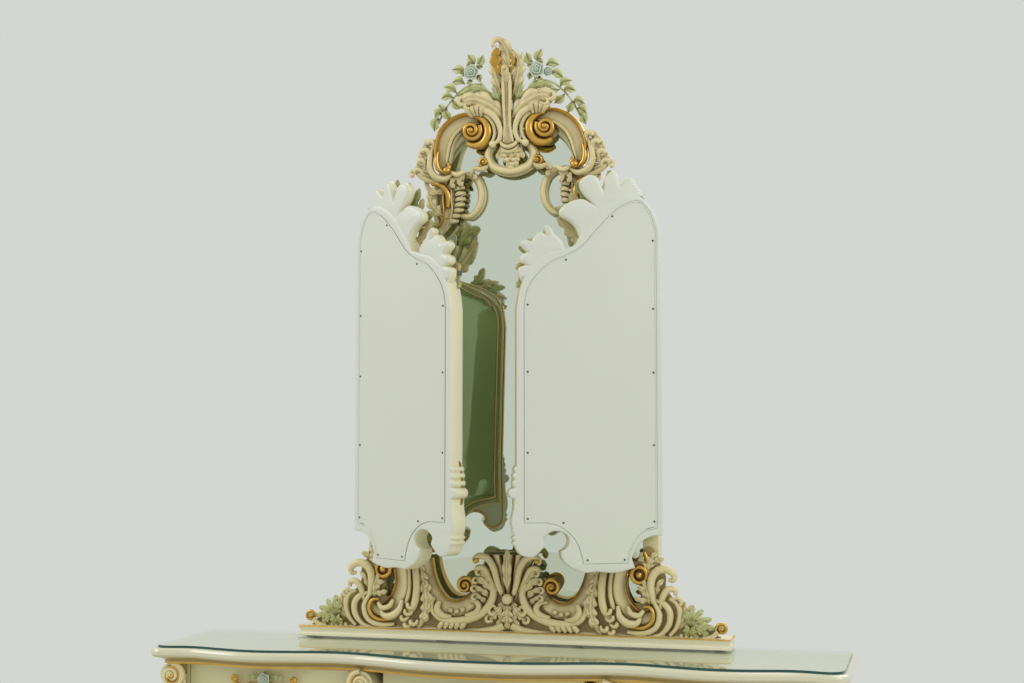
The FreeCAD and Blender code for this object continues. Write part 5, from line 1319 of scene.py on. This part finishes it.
def wing_leaves(side):
    """The leaves on a wing's upper edge: plain at its back, and carved on its mirror side."""
    place = on_wing(side)
    for name, runs in (("leaves", WING_LEAF), ("lower_leaves", WING_LOWER_LEAF)):
        outline = shares(runs, WING_WIDTH, WING_HEIGHT)
        piece = plate(f"{side}_wing_{name}", [outline], *WING_LEAVES[name], place, 0.0085, rings=4)
        paint(piece, "white_lacquer", "warm_lacquer")
        warm_sides(piece, side)
        dress(piece, side + "_wing", "white_lacquer", *([side + "_wing_leaves"] if name == "leaves" else []))
    s = Shape()
    wide, high = WING_WIDTH / CM, WING_HEIGHT / CM
    sprays = (
        (0.50, 0.86, 0.60, 0.90, 0.70, 0.935, 0.055, IVORY),
        (0.47, 0.90, 0.60, 0.945, 0.72, 0.962, 0.05, GREEN),
        (0.46, 0.93, 0.56, 0.975, 0.62, 1.0, 0.05, IVORY), (0.40, 0.94, 0.52, 1.0, 0.58, 1.03, 0.05, GREEN),
        (0.36, 0.95, 0.42, 1.01, 0.48, 1.05, 0.05, IVORY), (0.30, 0.96, 0.32, 1.02, 0.35, 1.065, 0.05, GREEN),
        (0.26, 0.965, 0.24, 1.01, 0.20, 1.045, 0.045, IVORY),
        (0.22, 0.97, 0.16, 0.995, 0.11, 1.0, 0.04, GREEN),
        (0.66, 0.83, 0.74, 0.87, 0.79, 0.91, 0.045, GREEN),
        (0.70, 0.825, 0.82, 0.86, 0.91, 0.875, 0.045, IVORY),
        (0.76, 0.81, 0.88, 0.84, 0.97, 0.857, 0.04, GREEN), (0.82, 0.79, 0.92, 0.81, 0.99, 0.80, 0.04, IVORY),
        (0.87, 0.76, 0.95, 0.77, 0.985, 0.75, 0.03, GREEN),
    )
    for x0, z0, x1, z1, x2, z2, w, finish in sprays:
        s.leaf([(x0 * wide, z0 * high, 0.2), (x1 * wide, z1 * high, 1.3), (x2 * wide, z2 * high, 0.9)],
               w * wide, 3, finish, thick=0.7)
    s.rose(0.47 * wide, 0.93 * high, 0.9, 1.9)
    s.rose(0.58 * wide, 0.885 * high, 0.9, 1.4)
    # The scrolls at its foot
    s.ribbon([(x * wide, z * high, half) for x, z, half in (
        (0.98, 0.30, 0.5), (1.0, 0.24, 0.9), (0.985, 0.17, 1.1), (0.97, 0.10, 1.0), (0.90, 0.065, 0.6),
    )], SCROLL, 1.0, count=6)
    s.volute(0.87 * wide, 0.085 * high, 1.5, 1.3, 0, GILT, 0.5, 0.4, way=1, rise=0.4)
    s.ribbon([(x * wide, z * high, half) for x, z, half in (
        (0.60, 0.10, 0.5), (0.57, 0.06, 0.8), (0.52, 0.02, 0.8), (0.42, 0.022, 0.7), (0.30, 0.024, 0.5),
    )], SCROLL, 0.9, count=6)
    carve(s, side + "_wing_carving", side + "_wing", out_of_wing(side, WING_CARVING))


# The table

def surface(node):
    """The mesh of a node of the frame, to find where a line meets it."""
    mesh = nodes[node].data
    return BVHTree.FromPolygons([v.co for v in mesh.vertices], [p.vertices for p in mesh.polygons])


def on_front_of(node, lift=0.0):
    """Metres across, up and out from the front of a node, whatever its curve, or from its nearest point."""
    tree = surface(node)

    def place(p):
        out = []
        for x, z, rise in p:
            met = tree.ray_cast(Vector((x, -1, z)), Vector((0, 1, 0)))[0]
            if met is None:
                met = tree.find_nearest(Vector((x, -0.3, z)))[0]
            out.append((x, met.y - rise - lift, z))
        return np.array(out)
    return place


def collar(s, node, height, radius):
    """A gold ring round a leg at that height, on the leg's own outline."""
    tree = surface(node)
    low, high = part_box(node)
    x = (low.x + high.x) / 2
    front = tree.ray_cast(Vector((x, -1, height)), Vector((0, 1, 0)))[0].y
    back = tree.ray_cast(Vector((x, 0.0, height)), Vector((0, -1, 0)))[0].y
    centre = Vector((x, (front + back) / 2, height))
    path = []
    for a in np.arange(16) * pi / 8:
        way = Vector((cos(a), sin(a), 0))
        met = tree.ray_cast(centre + 0.1 * way, -way)[0]
        path.append((met.x / CM, height / CM, -met.y / CM, radius))
    s.tube(path, GILT, 8, 2, closed=True)


def rectangle(x0, x1, z0, z1, half, steps=12, ears=0.0):
    """A closed rectangular path, with corners cut by small steps where it has ears."""
    xs = np.linspace(x0 + ears, x1 - ears, steps)
    corners = [(x, z0, half) for x in xs]
    if ears:
        corners += [(x1 - ears, z0 + ears, half), (x1, z0 + ears, half)]
        corners += [(x1, z1 - ears, half), (x1 - ears, z1 - ears, half)]
    corners += [(x, z1, half) for x in xs[::-1]]
    if ears:
        corners += [(x0 + ears, z1 - ears, half), (x0, z1 - ears, half)]
        corners += [(x0, z0 + ears, half), (x0 + ears, z0 + ears, half)]
    return corners


def drawer_lines(node, body):
    """The thin bead round a drawer's front."""
    low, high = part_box(node)
    x0, x1, z0, z1 = low.x / CM, high.x / CM, low.z / CM, high.z / CM
    s = Shape()
    s.ribbon(rectangle(x0 + 0.3, x1 - 0.3, z0 + 0.3, z1 - 0.3, 0.26), IVORY_BEAD, 0.1, mitre=True)
    carve(s, node + "_lines", body, on_front_of(node, -0.0002))


def drawer_pull(node, body):
    """A carved pull: a flower between two curled arms, on two stems."""
    low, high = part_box(node)
    centre, level = (low.x + high.x) / 2 / CM, (low.z + high.z) / 2 / CM
    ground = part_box(node.replace("_pull", "_front"))[0].y - PULL_OFF
    s = Shape()
    half = Shape()
    half.tube([(0.8, -0.6, 0.3, 0.32), (3.0, -1.3, 0.4, 0.42), (5.4, -1.6, 0.45, 0.46),
               (7.2, -1.1, 0.45, 0.5), (8.0, -0.2, 0.5, 0.46), (7.6, 0.5, 0.5, 0.4), (6.9, 0.2, 0.5, 0.32),
               (7.0, -0.4, 0.5, 0.26)], GILT, 8)
    half.ball(7.3, -0.2, 0.5, 0.66, GILT)
    half.leaf([(1.0, 0.2, 0.1), (2.8, 0.5, 0.5), (4.6, 0.4, 0.4)], 0.65, 3, GREEN, thick=0.3)
    half.leaf([(4.4, -1.3, 0.2), (6.0, -1.6, 0.5), (7.6, -1.1, 0.4)], 0.5, 3, GREEN, thick=0.3)
    half.tube([(4.1, -1.3, 0.4, 0.4), (4.1, -1.3, -0.6, 0.36), (4.1, -1.3, -1.6, 0.5)], GILT, 10, 2)
    s.both(half)
    s.rose(0, 0, 0.25, 1.6)
    for k in range(5):
        a = 0.3 + k * 2 * pi / 5
        s.leaf([(0.9 * cos(a), 0.9 * sin(a), 0.0), (1.4 * cos(a), 1.4 * sin(a), 0.3),
                (1.85 * cos(a), 1.7 * sin(a), 0.2)], 0.5, 1, GREEN, notch=0.1, thick=0.25, steps=9)
    carve(s, node, body, lambda p: np.stack([
        centre * CM + p[:, 0], np.minimum(ground - p[:, 2], PULL_STEMS), level * CM + p[:, 1],
    ], 1), node)


def post_carving(side, row):
    """The gold arrises and the carved volute of a front post, and the leaf on the knee below it."""
    node = f"{side}_{row}_leg"
    low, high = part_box(node)
    centre = (low.x + high.x) / 2 / CM
    way = 1 if (side == "right") == (row == "outer") else -1
    top = high.z / CM
    s = Shape()
    for x in (-2.5, 2.5):
        s.tube([(centre + x, z, 0, 0.14) for z in (38.6, 68, top - 0.6)], GILT, 6, 2)
    # The volute stands out from the post's head
    eye = centre + 0.25 * way
    s.volute(eye, top - 3.5, 3.0, 1.6, radians(90), IVORY, 0.8, 2.0, way=way, rise=0.7, eye=GILT)
    s.volute(eye, top - 3.5, 2.3, 1.5, radians(120), GILT, 0.45, 2.2, way=way, rise=0.7, eye=GILT)
    s.ball(eye, top - 3.5, 1.6, 2.9, IVORY, 18, 0.3, 0.9)
    for k in range(3):
        s.hook(centre - way * (2.0 - 0.5 * k), top - 5.0 - 0.9 * k, 1.6, 1.2, 90, way * 220, 0.45)
    s.leaf([(centre, top - 4.8, 1.6), (centre, top - 8.0, 1.6), (centre, top - 11.5, 0.5)],
           2.0, 4, thick=1.0, notch=0.5)
    for x in (1.5, -1.5):
        s.ribbon([(centre + x, 44.0, 0.12), (centre + x, 58.0, 0.12)], BEAD, 0.12)
    s.leaf([(centre, 43.0, 0.0), (centre, 46.0, 0.5), (centre, 49.0, 0.1)], 1.1, 3, thick=0.4)
    carve(s, node + "_carving", "table", on_plane(POST_FACE))
    knee = Shape()
    knee.leaf([(centre, 37.6, 0.1), (centre, 33.0, 0.5), (centre, 28.0, 0.5), (centre, 23.4, 0.15)],
              2.3, 5, thick=0.9, notch=0.55)
    for x in (-1, 1):
        knee.leaf([(centre + x * 0.8, 37.0, 0.1), (centre + x * 1.9, 34.6, 0.5),
                   (centre + x * 2.1, 31.6, 0.3)], 0.8, 3, thick=0.6)
    carve(knee, node + "_knee_carving", "table", on_front_of(node, -0.0015))
    rings = Shape()
    for height, radius in ANKLE_RINGS:
        collar(rings, node, height, radius)
    carve(rings, node + "_collar", "table", on_plane(0.0))


def apron_carving(side):
    """A shell with leaves on an apron, and gold along its edge."""
    node = side + "_apron"
    low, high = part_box(node)
    centre = (low.x + high.x) / 2 / CM
    s = Shape()
    for a in (-62, -40, -20, 0, 20, 40, 62):
        r = 2.6 + 0.9 * cos(radians(a * 1.3))
        across, down = r * sin(radians(a)), r * cos(radians(a))
        s.leaf([(centre, 37.2, 0.1), (centre + 0.5 * across, 37.2 - 0.5 * down, 0.7),
                (centre + across, 37.2 - down, 0.3)], 0.62, 1, notch=0.1, thick=0.5, steps=8)
    s.ball(centre, 37.2, 0.5, 0.7, GILT)
    half = Shape()
    half.leaf([(2.0, 36.4, 0.1), (6.0, 35.4, 0.7), (10.0, 36.2, 0.6), (13.0, 35.6, 0.2)], 1.1, 5, thick=0.5)
    half.volute(15.2, 35.8, 1.2, 1.3, radians(180), GILT, 0.36, 0.1, way=-1, rise=0.3)
    s.both(half, centre)
    carve(s, node + "_carving", "table", on_plane(low.y + 0.0004))


def side_panel(side):
    """The moulded frame on the case's outer side."""
    way = -1 if side == "left" else 1
    low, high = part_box(side + "_outer_side")
    face = low.x if way < 0 else high.x
    s = Shape()
    s.ribbon(rectangle(low.y / CM + 2.4, high.y / CM - 2.4, low.z / CM + 2.6, high.z / CM - 3.2, 0.5, 4, 1.6),
             MOULDING, 0.45, mitre=True)
    middle = low.y / CM + 9
    for path in (((57.2, 0.0), (61, 0.6), (65, 0.2)), ((57.2, 0.0), (53.6, 0.6), (50, 0.2))):
        s.leaf([(middle, z, out) for z, out in path], 1.8, 4, thick=0.5)
    s.rose(middle, 57.2, 0.1, 1.7)
    carve(s, side + "_side_panel", "table", lambda p: np.stack([
        face + way * (p[:, 2] - 0.0003), p[:, 0], p[:, 1],
    ], 1))


def moulded_block(name, low, high, steps):
    """A block whose four sides follow one profile. Steps are how far in and up each edge of it is."""
    s = Shape()
    rings = []
    for inset, up, _, _ in steps:
        rings.append([
            (low[0] + inset, low[1] + inset, up), (high[0] - inset, low[1] + inset, up),
            (high[0] - inset, high[1] - inset, up), (low[0] + inset, high[1] - inset, up),
        ])
    s.points = np.array(rings).reshape(-1, 3).tolist()
    s.glaze_and_shade = [g for _, _, _, g in steps for _ in range(4)]
    for i in range(len(steps) - 1):
        for k in range(4):
            m = (k + 1) % 4
            s.faces.append((i * 4 + k, i * 4 + m, i * 4 + 4 + m, i * 4 + 4 + k))
            s.finishes.append(steps[i][2])
    last = (len(steps) - 1) * 4
    s.faces += [(0, 3, 2, 1), (last, last + 1, last + 2, last + 3)]
    s.finishes += [IVORY, IVORY]
    return s.build(name, lambda p: p, ("warm_lacquer", "antique_gilt"))


# The add-on's sizes and colours

def colour_setting(name, description, screen):
    """A colour for the user to change, as on a screen, 0 to 255."""
    return bpy.props.FloatVectorProperty(
        name=name, description=description, default=colour(*screen), min=0, max=1, size=4, subtype="COLOR",
    )


class DressingTableSizes(bpy.types.PropertyGroup):
    """Sizes and colours of the dressing table's looks."""

    ivory: colour_setting("Ivory", "Lacquer of the case and of the centre mirror", (228, 224, 181))
    white: colour_setting("White", "Lacquer of the wings' backs", (226, 230, 222))
    warm: colour_setting("Warm white", "Lacquer of the plinth and of the wings' edges", (242, 239, 212))
    carved: colour_setting("Carved ivory", "Lacquer of the carvings", (243, 231, 185))
    gilt: colour_setting("Gilt", "Gold on the carvings, the bead and the pulls", (236, 196, 104))
    green: colour_setting("Leaf green", "Painted leaves", (212, 218, 158))
    rose: colour_setting("Rose", "Painted roses", (232, 238, 222))
    wall: colour_setting("Wall", "The plain wall behind the table", (211, 214, 209))
    # The glaze strength also scales the painted shade in the hollows
    glaze_and_shade_strength: bpy.props.FloatProperty(
        name="Glaze strength", description="Share of the brown glaze in the hollows", default=1.0, min=0.0,
        subtype="FACTOR",
    )
    floor_radius: bpy.props.FloatProperty(
        name="Floor radius", description="Radius of the floor that the table stands on", default=3.2,
        unit="LENGTH",
    )
    lamp_strength: bpy.props.FloatProperty(
        name="Lamp strength", description="Share of the lamps' full power", default=1.0, subtype="FACTOR",
    )


class DRESSING_OT_crest(bpy.types.Operator):
    """Carve the crest: scrolls, loops, sprigs of roses, plume and grapes"""

    bl_idname = "dressing.crest"
    bl_label = "Carve the crest"

    def execute(self, context):
        right = crest_scroll()
        loop = crest_loop()
        for side in ("left", "right"):
            s = Shape()
            for part in (right, loop):
                s.join(part, -1 if side == "left" else 1)
            node = f"crest_{side}_scroll"
            carve(s, node, "table", None, node)
        roses = Shape()
        roses.join(crest_sprig(LEFT_TIPS, (9.2, 140.9), None), -1)
        roses.join(crest_sprig(RIGHT_TIPS, (7.7, 140.5), (10.4, 139.9)))
        carve(roses, "crest_roses", "table", None, "crest_roses")
        carve(crest_plume(), "crest_plume", "table", None, "crest_plume")
        carve(crest_centre(), "crest_stem", "table")
        carve(grapes(), "grape_cartouche", "table", None, "grape_cartouche")
        return {"FINISHED"}


class DRESSING_OT_base(bpy.types.Operator):
    """Carve the base that cradles the mirror's foot"""

    bl_idname = "dressing.base"
    bl_label = "Carve the base"

    def execute(self, context):
        half = base_half()
        for side, across in (("left", -1), ("right", 1)):
            carving = Shape()
            carving.join(half, across)
            name = f"base_{side}_carving"
            carve(carving, name, "table", None, name)
            ground = plate(
                f"base_{side}_ground", [shares(runs, CM, CM) for runs in BASE_GROUND], *CARVED_GROUND,
                lambda p, across=across: on_mirror(p * (across, 1, 1)), 0.0015, count=4,
            )
            # The plate's front and sides take the dark painted shade of the gaps between the carvings, and
            # its back takes the ivory lacquer
            paint(ground, "ground_painted_shade", "ivory_lacquer")
            for face in ground.data.polygons:
                face.material_index = int(face.normal.y > 0.5)
            dress(ground, "table", "carved_gilt")
        carve(base_calyx(), "base_calyx", "table", None, "base_calyx")
        return {"FINISHED"}


class DRESSING_OT_mirror(bpy.types.Operator):
    """Make the fixed mirror's frame and glass"""

    bl_idname = "dressing.mirror"
    bl_label = "Make the centre mirror"

    def execute(self, context):
        outer = whole(shares(FRAME, MIRROR_HALF, MIRROR_HEIGHT))
        sight = whole(shares(SIGHT, MIRROR_HALF, MIRROR_HEIGHT))
        pane = whole(shares(PANE, MIRROR_HALF, MIRROR_HEIGHT))
        body = plate("centre_frame", [outer, sight], *RIM, on_mirror, 0.003)
        paint(body, "ivory_lacquer")
        dress(body, "table", "ivory_lacquer", "centre_frame")
        back = plate("centre_frame_back", [outer, pane], *BACK_FRAME, on_mirror, 0.002)
        paint(back, "ivory_lacquer")
        dress(back, "table", "ivory_lacquer")
        glass = plate("centre_glass", [pane], *PANE_OF_GLASS, on_mirror, 0.0008, rings=1)
        paint(glass, "mirror_silver")
        dress(glass, "table", "mirror_glass", "centre_glass")
        return {"FINISHED"}


class DRESSING_OT_wings(bpy.types.Operator):
    """Make the folding wings"""

    bl_idname = "dressing.wings"
    bl_label = "Make the wings"

    def execute(self, context):
        for side in ("left", "right"):
            wing_frame(side)
            wing_leaves(side)
        return {"FINISHED"}


class DRESSING_OT_table(bpy.types.Operator):
    """Dress the table: plinth, glass, drawers, posts, aprons and sides"""

    bl_idname = "dressing.table"
    bl_label = "Dress the table"

    def execute(self, context):
        low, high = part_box("mirror_plinth")
        foot = low.z / CM
        top = high.z / CM + 0.45
        block = moulded_block("mirror_plinth", (low.x / CM, low.y / CM), (high.x / CM, high.y / CM), [
            (0.12, foot, IVORY, 0.3), (0.0, foot + 0.1, IVORY, 0.1), (0.0, foot + 0.6, IVORY, 0.0),
            (0.15, foot + 1.0, IVORY, 0.0), (0.45, foot + 1.15, IVORY, 0.5), (0.5, foot + 1.35, IVORY, 0.2),
            (0.3, foot + 1.75, IVORY, 0.0), (0.2, top - 0.42, IVORY, 0.2), (0.12, top - 0.32, GILT, 0.2),
            (0.1, top - 0.2, GILT, 0.0), (0.2, top - 0.05, GILT, 0.0), (0.45, top, GILT, 0.1),
            (0.6, top - 0.02, IVORY, 0.5), (2.0, top - 0.02, IVORY, 0.4),
        ])
        dress(block, "table", "ivory_lacquer", "mirror_plinth")
        sheet = bpy.data.meshes.new("glass_top_clear")
        work = bmesh.new()
        work.from_mesh(nodes["glass_top"].data)
        bmesh.ops.remove_doubles(work, verts=work.verts, dist=1e-6)
        bmesh.ops.dissolve_limit(work, angle_limit=radians(1), verts=work.verts, edges=work.edges)
        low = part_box("glass_top")[0].z
        for vertex in work.verts:
            vertex.co.z = max(vertex.co.z, low + 0.0003)
        work.to_mesh(sheet)
        work.free()
        glass = new_piece("glass_top_clear", sheet)
        paint(glass, "clear_glass", "glass_edge")
        for face in glass.data.polygons:
            face.material_index = 0 if abs(face.normal.z) > 0.9 else 1
        dress(glass, "table", "clear_glass", "glass_top")
        for side in ("left", "right"):
            for row in ("upper", "lower"):
                body = f"{side}_{row}_drawer"
                drawer_lines(body + "_front", body)
                drawer_pull(body + "_pull", body)
            for row in ("outer", "inner"):
                post_carving(side, row)
            apron_carving(side)
            side_panel(side)
        drawer_lines("knee_drawer_front", "knee_drawer")
        drawer_pull("knee_drawer_pull", "knee_drawer")
        return {"FINISHED"}


KEPT = {
    "top_lacquer": ("table_top",),
    "wing_mirror": ("left_wing_glass", "right_wing_glass"),
    "hinge_brass": ("hinge_pins", "fixed_hinge_leaves", "left_wing_hinge_leaves", "right_wing_hinge_leaves"),
    "nail_steel": ("left_wing_nails", "right_wing_nails"),
    "felt_grey": ("plinth_pads",),
    "antique_gilt": ("top_bead",),
    "bare_wood": ("dust_boards", "drawer_guides", "back_panel", "mirror_backboard", "mirror_braces"),
    "white_lacquer": ("left_wing_board", "right_wing_board"),
}


class DRESSING_OT_finishes(bpy.types.Operator):
    """Give the frame's own pieces their finishes"""

    bl_idname = "dressing.finishes"
    bl_label = "Finish the frame"

    def execute(self, context):
        for name, node in nodes.items():
            finish = "ivory_lacquer"
            for kept, names in KEPT.items():
                if name in names or (kept == "bare_wood" and name.endswith("_box")):
                    finish = kept
            if name.endswith("_pull"):
                finish = "antique_gilt"
            node.data.materials.clear()
            node.data.materials.append(material(finish))
        return {"FINISHED"}


class DRESSING_OT_stage(bpy.types.Operator):
    """Set the floor, the lamps, the world and the camera"""

    bl_idname = "dressing.stage"
    bl_label = "Set the stage"

    def execute(self, context):
        sizes = context.scene.dressing_table
        clear_selection()
        bpy.ops.mesh.primitive_circle_add(vertices=96, radius=sizes.floor_radius, fill_type="NGON")
        floor = context.object
        floor.name = "floor"
        floor.data.materials.append(material("pale_floor"))

        world = bpy.data.worlds.new("room")
        context.scene.world = world
        world.use_nodes = True
        tree = world.node_tree
        back = fill(tree, tree.nodes["Background"], {"Color": colour(230, 229, 218), "Strength": 0.8})
        wall = add(tree, "Background", {"Color": sizes.wall})
        rays = add(tree, "LightPath").outputs
        seen = maths(tree, "MAXIMUM", rays["Is Camera Ray"], rays["Is Transmission Ray"])
        seen = maths(tree, "MAXIMUM", seen, rays["Is Glossy Ray"])
        mix_surface(tree, seen, back.outputs[0], wall.outputs[0], "World Output")

        for name, spot, size, power in (
            ("lamp_left", (-3.9, -1.6, 3.9), 2.2, 57), ("lamp_right", (3.6, -1.8, 3.6), 2.2, 48),
            ("lamp_back", (0.4, 2.8, 3.2), 2.6, 30),
        ):
            lamp = bpy.data.lights.new(name, "AREA")
            lamp.size = size
            lamp.energy = power * sizes.lamp_strength
            holder = new_piece(name, lamp)
            holder.location = spot
            aim = Vector((0, 0, 1.2)) - Vector(spot)
            holder.rotation_euler = aim.to_track_quat("-Z", "Y").to_euler()

        lens = bpy.data.cameras.new("camera")
        lens.lens = LENS
        lens.sensor_width = 36
        camera = new_piece("camera", lens)
        camera.location = CAMERA_AT
        camera.rotation_euler = [radians(a) for a in CAMERA_TURN]
        context.scene.camera = camera
        context.scene.view_settings.view_transform = "Standard"
        return {"FINISHED"}


class DRESSING_PT_panel(bpy.types.Panel):
    """The steps that dress the table"""

    bl_label = "Dressing table"
    bl_idname = "DRESSING_PT_panel"
    bl_space_type = "VIEW_3D"
    bl_region_type = "UI"
    bl_category = "Dressing table"

    def draw(self, context):
        sizes = context.scene.dressing_table
        for name in DressingTableSizes.__annotations__:
            self.layout.prop(sizes, name)
        for step in STEPS:
            self.layout.operator(step.bl_idname)


STEPS = (
    DRESSING_OT_finishes, DRESSING_OT_table, DRESSING_OT_mirror, DRESSING_OT_crest, DRESSING_OT_base,
    DRESSING_OT_wings, DRESSING_OT_stage,
)
CLASSES = (DressingTableSizes, *STEPS, DRESSING_PT_panel)


def register():
    """Add the settings, the steps and the panel to Blender."""
    for each in CLASSES:
        bpy.utils.register_class(each)
    bpy.types.Scene.dressing_table = bpy.props.PointerProperty(type=DressingTableSizes)


def unregister():
    """Take them out again."""
    del bpy.types.Scene.dressing_table
    for each in reversed(CLASSES):
        bpy.utils.unregister_class(each)


def main():
    """Dress the table step by step."""
    register()
    bpy.ops.dressing.finishes()
    bpy.ops.dressing.table()
    bpy.ops.dressing.mirror()
    bpy.ops.dressing.crest()
    bpy.ops.dressing.base()
    bpy.ops.dressing.wings()
    bpy.ops.dressing.stage()


if __name__ == "__main__":
    main()
